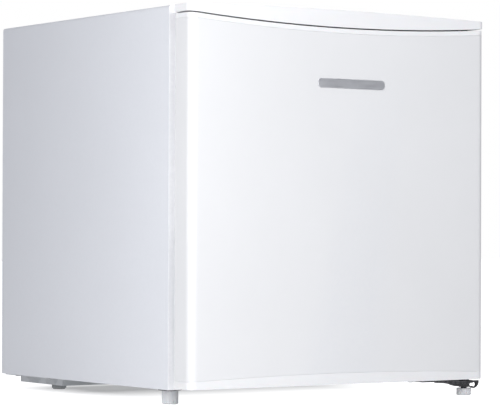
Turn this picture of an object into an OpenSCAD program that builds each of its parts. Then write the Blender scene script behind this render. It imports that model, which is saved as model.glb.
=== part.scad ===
// Table-top mini fridge: insulated cabinet, one door on the right-hand hinge, ice box, shelf,
// door racks, thermostat and a hermetic compressor with its rear condenser.
// Millimetres, +Z up, -Y towards the user. The origin is on the floor under the middle.

/* [Cabinet] */
// Width of the cabinet
cabinet_w = 470; // [430:1:570]
// Height of the side panels, without the feet
cabinet_h = 480; // [460:1:600]
// Depth of the side panels, front edge to rear edge
cabinet_d = 432; // [400:1:530]
// Thickness of the painted steel sheet
sheet_t = 0.8; // [0.6:0.1:1.2]
// Bend radius of the two long top edges
top_bend_r = 4; // [2:0.5:8]
// Width of the steel flange that the gasket seals on
flange_w = 20; // [14:1:24]
// Insulated side wall, outer face to inner face
side_wall = 36; // [30:1:44]
// Insulated top wall
top_wall = 44; // [36:1:52]
// Insulated floor
floor_wall = 34; // [28:1:42]
// Insulated rear wall
rear_wall = 38; // [30:1:46]
// Recess behind the back panel that shelters the condenser
rear_recess = 26; // [22:1:34]
// Thickness of the vacuum-formed liners
liner_t = 1.6; // [1.2:0.1:2.2]
// Corner radius inside the food compartment
liner_r = 14; // [8:1:20]

/* [Compressor bay] */
// Depth of the compressor bay, open at the back
bay_d = 135; // [128:1:150]
// Height of the compressor bay above the cabinet's underside
bay_h = 168; // [160:1:185]
// Foam between the bay and the food compartment
bay_wall = 32; // [26:1:38]
// Radius of the compressor's shell
compressor_r = 56; // [50:1:58]
// Height of the compressor's shell
compressor_h = 146; // [120:1:148]

/* [Door] */
// Thickness of the door
door_t = 36; // [32:1:44]
// Gap between door and cabinet that the gasket fills
seal_gap = 13; // [11:0.5:16]
// How much narrower the door is than the fascia, each side
door_inset = 1; // [0.5:0.5:3]
// Radius of the door's upright front edges
door_edge_r = 11; // [8:1:13]
// Height of the door's bottom edge above the cabinet's underside
door_lift = 2.5; // [2.3:0.1:4]
// Running gap between the door's top and the fascia
fascia_gap = 1.8; // [1.5:0.1:5]
// Width of the gasket's sealing face
gasket_w = 17; // [15:0.5:18]
// How far the door liner's raised frame reaches into the cabinet
plug_depth = 22; // [18:1:26]
// Wall of the moulded door caps and the fascia
cap_wall = 2.5; // [2:0.1:3.5]

/* [Fascia] */
// Height of the fascia at the middle of its curved lower edge, below the cabinet top
fascia_drop = 19.5; // [18:0.5:26]
// Rise of the lower edge from the middle to the ends, as a share of the width
fascia_sag_share = 0.0206; // [0.009:0.0001:0.022]
// Rise of the crowned top above the cabinet top at the middle
fascia_crown = 2.5; // [1:0.1:5]
// Fall of that crown from the middle to the ends, as a share of the width
crown_share = 0.0064; // [0.005:0.0001:0.008]
// Visible height of the door's top cap
top_cap_h = 6; // [4:0.5:10]
// Visible height of the door's bottom cap at the middle
bottom_cap_h = 14.5; // [11:0.5:20]
// Fall of the bottom cap's upper edge from the middle to the ends, as a share of the width
cap_sag_share = 0.0106; // [0.006:0.0001:0.015]

/* [Hinge and feet] */
// Height of the feet, floor to cabinet underside
foot_h = 20; // [18:0.5:26]
// Distance of the hinge axis from the cabinet's right side
hinge_in = 17; // [16:0.5:20]
// Distance of the hinge axis behind the door's front
hinge_back = 23.5; // [22:0.5:26]
// Radius of the hinge pins and of the feet's M8 studs
pin_r = 4; // [3:0.5:5]
// Radial running clearance of pins and shafts
run_gap = 0.05; // [0.02:0.01:0.1]
// Thickness of the hinge and foot plates
plate_t = 2.5; // [2:0.5:3.5]
// Radius of the right front foot, screwed on the lower hinge pin
right_foot_r = 9.75; // [8:0.25:12]
// Height of the right front foot
right_foot_h = 9.5; // [7:0.5:10]
// Radius of the left front foot
left_foot_r = 10.5; // [9:0.5:13]
// Distance of the left front foot from the side
left_foot_in = 25; // [20:1:40]
// Distance of the left front foot behind the cabinet's front edge
left_foot_back = 34; // [25:1:50]
// Radius of the rear glides
glide_r = 10; // [8:1:14]

/* [Inside] */
// Width of the ice box
icebox_w = 260; // [220:5:280]
// Height of the ice box
icebox_h = 88; // [76:1:92]
// Depth of the ice box
icebox_d = 210; // [180:5:220]
// Distance from the cabinet's front edge to the ice box
icebox_back = 130; // [125:1:150]
// Thickness of the roll-bonded evaporator sheet
evaporator_t = 1.5; // [1.2:0.1:2.5]
// Depth of the drip tray below its lip
tray_depth = 18; // [12:1:22]
// Height of the shelf above the compartment floor
shelf_h = 174; // [172:1:200]
// Wire radius of the shelf's frame
shelf_frame_r = 2.5; // [2:0.25:3]
// Wire radius of the shelf's bars
shelf_bar_r = 1.5; // [1:0.25:2]
// Bars across the shelf
shelf_bars = 17; // [11:2:21]
// Depth of the door racks
rack_d = 85; // [70:1:86]
// Wall of the door racks
rack_t = 2.5; // [2:0.25:3.5]
// Radius of the thermostat knob
knob_r = 17; // [13:0.5:20]

/* [Badge] */
// Width of the blank badge
badge_w = 106; // [60:1:120]
// Height of the blank badge
badge_h = 12; // [8:1:18]
// How far the badge stands proud
badge_t = 0.8; // [0.5:0.1:1.5]

/* [Hidden] */
$fn = 64;

// Middle of the badge
badge_x = 12;
badge_z = foot_h + cabinet_h - 92;
// Fineness of the large shallow arcs
arc_fn = 720;
// Small separation between pieces of different bodies
gap = 0.3;

// Planes from front to back
overall_d = badge_t + door_t + seal_gap + cabinet_d;
door_front = -overall_d / 2 + badge_t;
door_back = door_front + door_t;
cab_front = door_back + seal_gap;
cab_back = overall_d / 2;
panel_y = cab_back - rear_recess;
bay_front = cab_back - bay_d;

// Heights
base_z = foot_h;
top_z = base_z + cabinet_h;
bay_top = base_z + bay_h;
floor_z = base_z + floor_wall;
ceiling_z = top_z - top_wall;
ledge_z = floor_z + shelf_h;
step_z = bay_top + bay_wall;
door_z = base_z + door_lift;

// Half widths
side_x = cabinet_w / 2;
inner_x = side_x - side_wall;
door_x = side_x - door_inset;

// Food compartment
liner_back = panel_y - rear_wall;
step_front = bay_front - bay_wall;

// Curved edges: low point of the fascia and of the door's top
fascia_z = top_z - fascia_drop;
door_top = fascia_z - fascia_gap;
fascia_sag = cabinet_w * fascia_sag_share;
sag_r = arc_radius(side_x, fascia_sag);
crown_r = arc_radius(side_x, cabinet_w * crown_share);
cap_r = arc_radius(side_x, cabinet_w * cap_sag_share);

// Fastener places
screw_r = 2;
screw_l = 14;
head_r = 4;
head_h = 1.8;
fascia_screw_x = [-150, 0, 150];
fascia_screw_z = top_z - 8;
return_w = 22;
foot_x = -side_x + left_foot_in;
foot_y = cab_front + left_foot_back;
stud_z = 7;
tail_z = 3;
foot_screws = [
    [foot_x + 15, foot_y + 14],
    [foot_x + 27, foot_y + 28]
];

// Hinge axis
hinge_x = side_x - hinge_in;
hinge_y = door_front + hinge_back;
upper_plate_z = top_z - 7;

// Notch in the fascia that the door's hinge end swings through
relief_x = 26;
relief_y = 8;
collar_h = door_lift - gap;
nut_h = 6.5;
nut_across = 13;
bush_r = pin_r + 3;
bush_depth = 15;
bracket_reach = 8;
lip_y = hinge_y - 12;
lip_h = 7.4;
lip_left = hinge_x - 58;
lip_right = hinge_x + bracket_reach;
eye_x = hinge_x + 7;
eye_r = 9.3;
eye_slot_x = [hinge_x + 2.2, hinge_x + 8];
eye_slot_z = base_z - 5.3;
eye_slot_r = [2, 3.1];
boss_r = 12;
upper_screw_x = [hinge_x - 17, hinge_x - 6];
upper_screw_z = top_z - 16;
lower_screw_x = [hinge_x - 50, hinge_x - 6];
lower_screw_y = cab_front + 26;

// Gasket frame
gasket_x = side_x - flange_w + 1;
gasket_low = floor_z - gasket_w;
gasket_high = ceiling_z + gasket_w;
magnet_t = 3;
magnet_w = 9;

// Door liner's raised frame
plug_x = inner_x - 11;
plug_low = floor_z + 11;
plug_high = ceiling_z - 11;
plug_band = 16;
plug_y = door_back + plug_depth;
liner_low = gasket_low + 1;
liner_high = gasket_high - 3;
hem_w = 10;

// Ice box, from the left wall of the compartment
icebox_x0 = -inner_x + 9;
icebox_x1 = icebox_x0 + icebox_w;
icebox_y0 = cab_front + icebox_back;
icebox_y1 = icebox_y0 + icebox_d;
icebox_top = ceiling_z - 4;
icebox_low = icebox_top - icebox_h;
hanger_x = [icebox_x0 + 20, icebox_x1 - 20];
hanger_y = [icebox_y0 + 20, icebox_y1 - 20];
hanger_l = 9;
frame_t = 5;
flap_t = 3;
flap_pin_r = 2.5;
flap_y = icebox_y0 - frame_t - 3;
flap_z = icebox_top - 8;
flap_low = icebox_low + 3;
ear_t = 3;

// Drip tray, hung under the ice box
rail_h = 15;
rail_lip = 8;
tray_t = 2;
tray_lip_z = icebox_low - rail_h + 3 + gap;
tray_x0 = icebox_x0 + 4;
tray_x1 = icebox_x1 - 4;
tray_y0 = icebox_y0 - 6;
tray_y1 = icebox_y1 - 6;

// Shelf
shelf_x = inner_x - 2;
shelf_y0 = cab_front + 107;
shelf_y1 = liner_back - 4;
shelf_z = ledge_z + gap + shelf_frame_r;
ledge_w = 8;
ledge_t = 4;
ledge_top_z = shelf_z + shelf_frame_r + 2;

// Door racks
rack_x = plug_x - plug_band - 0.5;
rack_y1 = plug_y + rack_d - 1;
rack_r = 9;
lower_rack_z = floor_z + 30;
lower_rack_h = 66;
upper_rack_z = floor_z + 216;
upper_rack_h = 52;

// Thermostat
stat_x = inner_x - 61;
stat_w = 74;
stat_d = 90;
stat_h = 40;
stat_y0 = cab_front + 122;
stat_z = ceiling_z - stat_h / 2;
shaft_r = 3;
knob_l = 14;

// Compressor bay
tray_z = 8;
tray_plate_t = 1.5;
tray_y = bay_front + 12;
tray_back = cab_back - 4;
tray_x = side_x - 28;
tray_screw_x = side_x - 14;
tray_screw_y = [tray_y + 18, tray_back - 18];
bay_mid_y = (bay_front + cab_back) / 2 + 3;
glide_x = side_x - 55;
compressor_x = -10;
grommet_h = 9;
grommet_r = 9;
compressor_z = tray_z + tray_plate_t + grommet_h;
ear_x = 72;
ear_y = 42;
bolt_r = 3;
ears = [for (sx = [-1, 1], sy = [-1, 1]) [compressor_x + sx * ear_x, bay_mid_y + sy * ear_y]];
suction_stub_z = compressor_z + 52;
discharge_stub_z = compressor_z + 98;
stub_l = 12;
gland_x = -150;
gland_z = base_z + 2;
gland_neck_r = 5.5;
gland_flange_r = 7;
gland_bore_r = 3.8;

// Condenser
coil_y = panel_y + 13;
coil_r = 2.4;
coil_pitch = 28;
coil_rows = 9;
coil_x = side_x - 45;
coil_low = bay_top + 24;
coil_high = coil_low + (coil_rows - 1) * coil_pitch;
coil_turn_x = coil_x - coil_pitch / 2;
standoff_x = coil_x - 30;
standoff_z = [coil_low + coil_pitch / 2, coil_high - coil_pitch / 2];
wire_r = 0.8;
wires = 29;
wire_overhang = 7;
drier_r = 9;
drier_h = 86;
drier_x = -side_x + 30;
drier_z = bay_top - 106;
discharge_x = side_x - 31;
suction_r = 3;
suction_x = side_x - 17;
capillary_r = 1.2;
capillary_x = -side_x + 13;
return_x = icebox_x1 - 40;
return_z = ceiling_z - 50;
foam_run_y = (liner_back + panel_y) / 2;

function arc_radius(half, sag) = (half * half + sag * sag) / (2 * sag);
function turn_left(a, b) = a[0] * b[1] - a[1] * b[0] > 0;
function unit(v) = v / norm(v);
function heading(v) = atan2(v[1], v[0]);

// ---------- shared shapes ----------

// A box given by its two corners
module block(low, high) {
    translate(low) cube(high - low);
}

// A solid drawn in the XZ plane, from one depth to another
module deep(y0, y1) {
    translate([0, y1, 0]) rotate([90, 0, 0]) linear_extrude(y1 - y0) children();
}

// A cylinder along Y
module rod_y(x, z, y0, y1, r) {
    translate([x, y0, z]) rotate([-90, 0, 0]) cylinder(h = y1 - y0, r = r);
}

// A cylinder along X
module rod_x(y, z, x0, x1, r) {
    translate([x0, y, z]) rotate([0, 90, 0]) cylinder(h = x1 - x0, r = r);
}

// A cylinder along Z
module rod_z(x, y, z0, z1, r) {
    translate([x, y, z0]) cylinder(h = z1 - z0, r = r);
}

// A pan-head screw along Y, head towards -Y when facing is -1
module screw_y(x, y, z, facing) {
    translate([x, y, z]) rotate([90 * -facing, 0, 0]) {
        translate([0, 0, -screw_l]) cylinder(h = screw_l, r = screw_r);
        cylinder(h = head_h, r = head_r);
    }
}

// A pan-head screw along Z, head below
module screw_up(x, y, z, length) {
    rod_z(x, y, z, z + length, screw_r);
    rod_z(x, y, z - head_h, z, head_r);
}

// A rectangle with rounded corners, by its limits
module rounded(x0, x1, z0, z1, r) {
    translate([x0 + r, z0]) square([x1 - x0 - 2 * r, z1 - z0]);
    translate([x0, z0 + r]) square([x1 - x0, z1 - z0 - 2 * r]);
    for (x = [x0 + r, x1 - r], z = [z0 + r, z1 - r]) translate([x, z]) circle(r);
}

// A frame of constant band width, from one depth to another
module picture_frame(half, low, high, band, y0, y1) {
    difference() {
        block([-half, y0, low], [half, y1, high]);
        block([-half + band, y0 - 1, low + band], [half - band, y1 + 1, high - band]);
    }
}

// Plan of the door and fascia: rounded at the front, square at the back
module door_plan(half, inset, y1) {
    r = door_edge_r - inset;
    y0 = door_front + inset;
    x = half - inset;
    translate([-x, y0 + r]) square([2 * x, y1 - y0 - r]);
    translate([-x + r, y0]) square([2 * (x - r), r + 1]);
    for (side = [-1, 1]) translate([side * (x - r), y0 + r]) circle(r);
}

// Everything above a dipping arc whose low point is at z
module above_dip(z, y0, y1) {
    deep(y0, y1) intersection() {
        translate([0, z + sag_r]) circle(sag_r, $fn = arc_fn);
        translate([-side_x - 1, z - 1]) square([2 * side_x + 2, fascia_sag + 60]);
    }
}

// Everything below a crowned arc whose high point is at z
module below_crown(z, r, y0, y1) {
    deep(y0, y1) intersection() {
        translate([0, z - r]) circle(r, $fn = arc_fn);
        translate([-side_x - 1, z - 80]) square([2 * side_x + 2, 81]);
    }
}

// Outline of the steel wrap in the XZ plane: both sides and the top
module wrap_outline(inset) {
    r = top_bend_r - inset;
    x = side_x - inset;
    z = top_z - inset;
    translate([-x, base_z]) square([2 * x, z - r - base_z]);
    translate([-x + r, base_z + 1]) square([2 * (x - r), z - base_z - 1]);
    for (side = [-1, 1]) translate([side * (x - r), z - r]) circle(r);
}

// The food compartment, grown outwards by t
module compartment(t) {
    deep(cab_front - 1, step_front + t)
        rounded(-inner_x - t, inner_x + t, floor_z - t, ceiling_z + t, liner_r + t);
    deep(cab_front - 1, liner_back + t)
        rounded(-inner_x - t, inner_x + t, step_z - t, ceiling_z + t, liner_r + t);
}

// A tube bent in the XZ plane at depth y, through points joined at right angles
module bent_tube(points, y, r, bend) {
    last = len(points) - 1;
    translate([0, y, 0]) rotate([90, 0, 0]) {
        for (i = [0 : last - 1]) {
            way = unit(points[i + 1] - points[i]);
            from = points[i] + (i == 0 ? 0 : bend) * way;
            to = points[i + 1] - (i + 1 == last ? 0 : bend) * way;
            translate([from[0], from[1], 0]) rotate([0, 90, heading(way)])
                cylinder(h = norm(to - from), r = r);
        }
        for (i = [1 : last - 1]) {
            way_in = unit(points[i] - points[i - 1]);
            way_out = unit(points[i + 1] - points[i]);
            centre = points[i] + bend * (way_out - way_in);
            start = turn_left(way_in, way_out) ? heading(-way_out) : heading(way_in);
            translate([centre[0], centre[1], 0]) rotate([0, 0, start])
                rotate_extrude(angle = 90) translate([bend, 0]) circle(r);
        }
    }
}

// Screw holes through the front flange, for the fascia and the upper bracket
module front_holes(y0, y1) {
    for (x = fascia_screw_x) rod_y(x, fascia_screw_z, y0, y1, screw_r);
    for (x = upper_screw_x) rod_y(x, upper_screw_z, y0, y1, screw_r);
}

// Holes through the base at its front, for both plates and the left foot's stud
module base_holes(z0, z1) {
    rod_z(foot_x, foot_y, z0, z1, pin_r + 1);
    for (place = foot_screws) rod_z(place[0], place[1], z0, z1, screw_r);
    for (x = lower_screw_x) rod_z(x, lower_screw_y, z0, z1, screw_r);
}

// Holes behind the stand-offs of the condenser
module standoff_holes(y0, y1) {
    for (side = [-1, 1], z = standoff_z) rod_y(side * standoff_x, z, y0, y1, screw_r);
}

// ---------- cabinet ----------

// Steel wrap: sides and top, turned in at the front, the back and the bottom
module cabinet_shell() {
    color("white") difference() {
        union() {
            difference() {
                deep(cab_front, cab_back) wrap_outline(0);
                deep(cab_front - 1, cab_back + 1) wrap_outline(sheet_t);
                block([-side_x + sheet_t, cab_front - 1, base_z - 1],
                      [side_x - sheet_t, cab_back + 1, base_z + 2]);
            }
            difference() {
                deep(cab_front, cab_front + sheet_t) wrap_outline(0);
                block([-side_x + flange_w, cab_front - 1, base_z - 1],
                      [side_x - flange_w, cab_front + 1 + sheet_t, top_z - flange_w]);
            }
            difference() {
                deep(cab_back - sheet_t, cab_back) wrap_outline(0);
                block([-side_x + 10, cab_back - 1 - sheet_t, base_z - 1],
                      [side_x - 10, cab_back + 1, top_z - 10]);
            }
            for (side = [-1, 1]) mirror([side < 0 ? 0 : 1, 0, 0])
                block([-side_x, cab_front, base_z], [-side_x + return_w, cab_back, base_z + sheet_t]);
        }
        front_holes(cab_front - 1, cab_front + 2);
        base_holes(base_z - 1, base_z + 2);
        for (side = [-1, 1], y = tray_screw_y)
            rod_z(side * tray_screw_x, y, base_z - 1, base_z + 2, screw_r);
    }
}

// Folded front of the base, between the wrap's bottom returns
module base_upstand() {
    x = side_x - return_w;
    block([-x, cab_front, base_z], [x, cab_front + sheet_t, base_z + flange_w]);
    block([-x, cab_front, base_z], [x, cab_front + 2 * sheet_t, base_z + 2 * sheet_t]);
}

// Steel floor under the foam, with an upstand that carries the gasket's bottom run
module base_panel() {
    x = side_x - sheet_t;
    color("gainsboro") difference() {
        union() {
            block([-x, cab_front + sheet_t, base_z + sheet_t],
                  [x, bay_front, base_z + 2 * sheet_t]);
            base_upstand();
        }
        base_holes(base_z - 1, base_z + 3);
    }
}

// Galvanised step over the compressor bay
module bay_panel() {
    x = side_x - sheet_t;
    color("silver") {
        block([-x, bay_front, base_z + sheet_t], [x, bay_front + sheet_t, bay_top]);
        block([-x, bay_front, bay_top - sheet_t], [x, panel_y + sheet_t, bay_top]);
    }
}

// Rear sheet with flanges turned back against the wrap
module back_panel() {
    x = side_x - sheet_t;
    color("whitesmoke") difference() {
        union() {
            block([-x, panel_y, bay_top], [x, panel_y + sheet_t, top_z - sheet_t - top_bend_r]);
            block([-x + top_bend_r, panel_y, bay_top],
                  [x - top_bend_r, panel_y + sheet_t, top_z - sheet_t]);
            for (side = [-1, 1]) mirror([side < 0 ? 0 : 1, 0, 0])
                block([-x, panel_y, bay_top], [-x + sheet_t, panel_y + 12, top_z - 12]);
        }
        rod_y(suction_x, return_z, panel_y - 1, panel_y + 2, suction_r + gap);
        rod_y(capillary_x, return_z, panel_y - 1, panel_y + 2, capillary_r + gap);
        standoff_holes(panel_y - 1, panel_y + 2);
    }
}

// One-piece white liner: compartment, step, front rim and shelf ledges
module inner_liner() {
    rim_x = side_x - flange_w;
    color("white") {
        difference() {
            union() {
                intersection() {
                    compartment(liner_t);
                    block([-side_x, cab_front, base_z], [side_x, cab_back, top_z]);
                }
                block([-rim_x, cab_front, base_z + flange_w],
                      [rim_x, cab_front + liner_t, top_z - flange_w]);
            }
            compartment(0);
            rod_y(return_x, return_z, liner_back - 1, liner_back + 3, suction_r + gap);
            for (x = hanger_x, y = hanger_y) rod_z(x, y, ceiling_z - 1, ceiling_z + 3, screw_r);
        }
        intersection() {
            compartment(liner_t / 2);
            for (side = [-1, 1], z = [ledge_z - ledge_t, ledge_top_z]) mirror([side < 0 ? 0 : 1, 0, 0])
                block([-inner_x - liner_t, shelf_y0 + 4, z],
                      [-inner_x + ledge_w, liner_back + liner_t / 2, z + ledge_t]);
        }
    }
}

// Foam between the steel and the liner
module cabinet_foam() {
    x = side_x - sheet_t;
    color("khaki") difference() {
        intersection() {
            union() {
                block([-x, cab_front + sheet_t, base_z + 2 * sheet_t], [x, bay_front, top_z]);
                block([-x, bay_front - 1, bay_top], [x, panel_y, top_z]);
            }
            deep(cab_front + sheet_t, panel_y) wrap_outline(sheet_t);
        }
        block([-side_x + flange_w, cab_front - 1, base_z + flange_w],
              [side_x - flange_w, cab_front + liner_t, top_z - flange_w]);
        base_upstand();
        compartment(liner_t);
        suction_run(gap);
        rod_y(capillary_x, return_z, panel_y - 20, panel_y + 1, capillary_r + gap);
        front_holes(cab_front, cab_front + screw_l);
        standoff_holes(panel_y - screw_l, panel_y + 1);
        base_holes(base_z, base_z + 16);
        for (x = hanger_x, y = hanger_y) rod_z(x, y, ceiling_z, ceiling_z + hanger_l, screw_r);
    }
}

// Body of the fascia, shrunk all round by inset, between two depths
module fascia_body(half, inset, y0, y1) {
    intersection() {
        translate([0, 0, fascia_z - 5]) linear_extrude(fascia_drop + 20) door_plan(half, inset, y1);
        above_dip(fascia_z + inset, y0, y1);
        below_crown(top_z + fascia_crown - inset, crown_r, y0, y1);
    }
}

// Curved white trim over the door, which hides the upper hinge
module top_fascia() {
    tongue_x = side_x - 6;
    color("white") difference() {
        union() {
            fascia_body(side_x, 0, door_front, door_back);
            intersection() {
                block([-tongue_x, door_back - 1, fascia_z], [tongue_x, cab_front, top_z + 5]);
                above_dip(fascia_z, door_front, cab_front);
                below_crown(top_z + fascia_crown, crown_r, door_front, cab_front);
            }
        }
        difference() {
            intersection() {
                fascia_body(side_x, cap_wall, door_front, cab_front + 1);
                union() {
                    block([-side_x, door_front, fascia_z], [side_x, door_back - cap_wall, top_z + 5]);
                    block([-tongue_x + cap_wall, door_front, fascia_z],
                          [tongue_x - cap_wall, cab_front + 1, top_z + 5]);
                }
            }
            for (x = fascia_screw_x)
                block([x - 8, cab_front - cap_wall, fascia_z], [x + 8, cab_front, top_z]);
        }
        for (x = fascia_screw_x) rod_y(x, fascia_screw_z, cab_front - 5, cab_front + 1, screw_r);
        block([hinge_x - relief_x, hinge_y - relief_y, fascia_z - 1],
              [hinge_x + bracket_reach + gap, cab_front + 1, upper_plate_z]);
    }
}

// Three screws that hold the fascia on the front flange
module fascia_screws() {
    color("silver") for (x = fascia_screw_x) screw_y(x, cab_front - cap_wall, fascia_screw_z, -1);
}

// ---------- hinges and feet ----------

// Angle plate: one leg on the front flange behind the door's top, one inside the fascia
module upper_hinge_bracket() {
    x0 = hinge_x - 22;
    x1 = hinge_x + bracket_reach;
    z1 = upper_plate_z + plate_t;
    color("dimgray") difference() {
        union() {
            block([x0, hinge_y, upper_plate_z], [x1, cab_front, z1]);
            rod_z(hinge_x, hinge_y, upper_plate_z, z1, bracket_reach);
            block([x0, hinge_y - bracket_reach, upper_plate_z], [hinge_x, hinge_y + 1, z1]);
            block([x0, cab_front - plate_t, upper_screw_z - 7], [x1, cab_front, z1]);
        }
        rod_z(hinge_x, hinge_y, upper_plate_z - 1, z1 + 1, pin_r - 1);
        for (x = upper_screw_x)
            rod_y(x, upper_screw_z, cab_front - plate_t - 1, cab_front + 1, screw_r);
    }
}

// Two screws through the upper bracket into the cabinet front
module upper_hinge_screws() {
    color("silver") for (x = upper_screw_x) screw_y(x, cab_front - plate_t, upper_screw_z, -1);
}

// Upper pin, riveted in its bracket and pointing down into the door
module upper_hinge_pin() {
    color("silver") {
        rod_z(hinge_x, hinge_y, door_top + 6 - bush_depth + 5, upper_plate_z, pin_r);
        rod_z(hinge_x, hinge_y, upper_plate_z - 0.5, upper_plate_z + plate_t + 0.5, pin_r - 1);
        rod_z(hinge_x, hinge_y, upper_plate_z + plate_t, upper_plate_z + plate_t + 1, pin_r + 1);
    }
}

// Outline of the lower bracket's front lip: boat shaped, with an eye at its right end
module lip_outline() {
    difference() {
        union() {
            polygon([[lip_left, base_z], [lip_left, base_z - plate_t + 1],
                     [hinge_x - 42, base_z - plate_t], [hinge_x - 35, base_z - 3.6],
                     [hinge_x - 29, base_z - 5.7], [hinge_x - 23, base_z - 6.9],
                     [hinge_x - 15, base_z - lip_h], [lip_right, base_z - lip_h],
                     [lip_right, base_z]]);
            translate([eye_x, base_z - 1]) intersection() {
                circle(eye_r);
                translate([-eye_r - 1, -eye_r]) square([2 * eye_r + 2, eye_r + 1]);
            }
        }
        for (i = [0, 1]) translate([eye_slot_x[i], eye_slot_z]) circle(eye_slot_r[i]);
        translate([eye_slot_x[0], eye_slot_z - eye_slot_r[0]])
            square([eye_slot_x[1] - eye_slot_x[0], 2 * eye_slot_r[0]]);
    }
}

// Black steel bracket under the right front corner that carries the door
module lower_hinge_bracket() {
    z0 = base_z - plate_t;
    arm_x = hinge_x - 30;
    color("black") difference() {
        union() {
            block([hinge_x - 56, cab_front - 8, z0], [side_x - 3, lower_screw_y + 12, base_z]);
            block([arm_x, lip_y, z0], [lip_right, cab_front, base_z]);
            rod_z(hinge_x, hinge_y, z0, base_z, boss_r);
            deep(lip_y, lip_y + plate_t) lip_outline();
        }
        rod_z(hinge_x, hinge_y, z0 - 1, base_z + 1, pin_r + run_gap);
        for (x = lower_screw_x) rod_z(x, lower_screw_y, z0 - 1, base_z + 1, screw_r);
    }
}

// Two screws up into the cabinet's base
module lower_bracket_screws() {
    color("silver") for (x = lower_screw_x) screw_up(x, lower_screw_y, base_z - plate_t, screw_l);
}

// Shouldered pin: journal in the door, collar on the bracket, threaded tail for the foot
module lower_hinge_pin() {
    color("silver") {
        rod_z(hinge_x, hinge_y, tail_z, door_z + bush_depth - 3, pin_r);
        rod_z(hinge_x, hinge_y, base_z, base_z + collar_h, bush_r);
    }
}

// Nut that clamps the pin to the bracket
module hinge_lock_nut() {
    color("dimgray") difference() {
        translate([hinge_x, hinge_y, base_z - plate_t - nut_h])
            cylinder(h = nut_h, r = nut_across / 2 / cos(30), $fn = 6);
        rod_z(hinge_x, hinge_y, 0, base_z, pin_r + run_gap);
    }
}

// Plate that backs the left front foot, with a tongue towards the middle of the base
module left_foot_plate() {
    z0 = base_z - plate_t;
    color("black") difference() {
        translate([foot_x, foot_y, z0]) linear_extrude(plate_t)
            polygon([[-13, -8], [-10, -11], [8, -11], [11, -9], [34, 20], [36, 25], [36, 33],
                     [33, 36], [22, 36], [17, 34], [-11, 11], [-13, 8]]);
        rod_z(foot_x, foot_y, 0, base_z + 1, pin_r + run_gap);
        for (place = foot_screws) rod_z(place[0], place[1], 0, base_z + 1, screw_r);
    }
}

// Screws up through the foot plate
module foot_plate_screws() {
    color("silver") for (place = foot_screws)
        screw_up(place[0], place[1], base_z - plate_t, screw_l);
}

// Moulded levelling foot, left front
module left_front_foot() {
    color("lightgray") difference() {
        union() {
            rod_z(foot_x, foot_y, 1, base_z - plate_t - gap, left_foot_r);
            rod_z(foot_x, foot_y, 0, 1, left_foot_r - 1);
        }
        rod_z(foot_x, foot_y, stud_z, base_z, pin_r);
        for (a = [0 : 30 : 330]) translate([foot_x, foot_y, 0]) rotate([0, 0, a])
            translate([left_foot_r + 0.6, 0, -1]) cylinder(h = 8, r = 1.2);
    }
}

// Stud moulded into the left foot, screwed into the plate
module left_foot_stud() {
    color("silver")
        rod_z(foot_x, foot_y, stud_z, base_z + 15, pin_r);
}

// Knurled levelling foot, right front, on the hinge pin's tail
module right_front_foot() {
    color("darkgray") difference() {
        union() {
            rod_z(hinge_x, hinge_y, 1, right_foot_h, right_foot_r);
            rod_z(hinge_x, hinge_y, 0, 1, right_foot_r - 1);
        }
        rod_z(hinge_x, hinge_y, tail_z - gap, base_z, pin_r + run_gap);
        for (a = [0 : 20 : 340]) translate([hinge_x, hinge_y, 0]) rotate([0, 0, a])
            translate([right_foot_r + 0.5, 0, 2]) cylinder(h = 10, r = 1);
    }
}

// Two plastic glides under the compressor tray
module rear_glides() {
    color("gray") for (side = [-1, 1]) {
        rod_z(side * glide_x, bay_mid_y, 1.5, tray_z, glide_r);
        rod_z(side * glide_x, bay_mid_y, 0, 1.5, glide_r - 1.5);
    }
}

// ---------- compressor bay ----------

// Steel cross tray that carries the compressor and the rear glides
module compressor_tray() {
    t = tray_plate_t;
    color("dimgray") difference() {
        union() {
            block([-tray_x, tray_y, tray_z], [tray_x, tray_back, tray_z + t]);
            block([-tray_x, tray_y, tray_z], [tray_x, tray_y + t, base_z - t]);
            block([-tray_x, tray_back - t, tray_z], [tray_x, tray_back, base_z - t]);
            block([gland_x - 12, tray_back - t, tray_z],
                  [gland_x + 12, tray_back, gland_z + gland_flange_r + 4]);
            for (side = [-1, 1]) mirror([side < 0 ? 0 : 1, 0, 0]) {
                block([-tray_x, tray_y, tray_z], [-tray_x + t, tray_back, base_z]);
                block([-side_x + 4, tray_y, base_z - t], [-tray_x + t, tray_back, base_z]);
            }
        }
        for (side = [-1, 1], y = tray_screw_y)
            rod_z(side * tray_screw_x, y, 0, base_z + 1, screw_r);
        for (place = ears) rod_z(place[0], place[1], tray_z - 1, tray_z + t + 1, bolt_r);
        rod_y(gland_x, gland_z, tray_back - t - 1, tray_back + 1, gland_neck_r);
    }
}

// Four screws that hang the tray from the wrap's bottom flanges
module tray_screws() {
    color("silver") for (side = [-1, 1], y = tray_screw_y)
        screw_up(side * tray_screw_x, y, base_z - tray_plate_t, 8);
}

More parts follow.
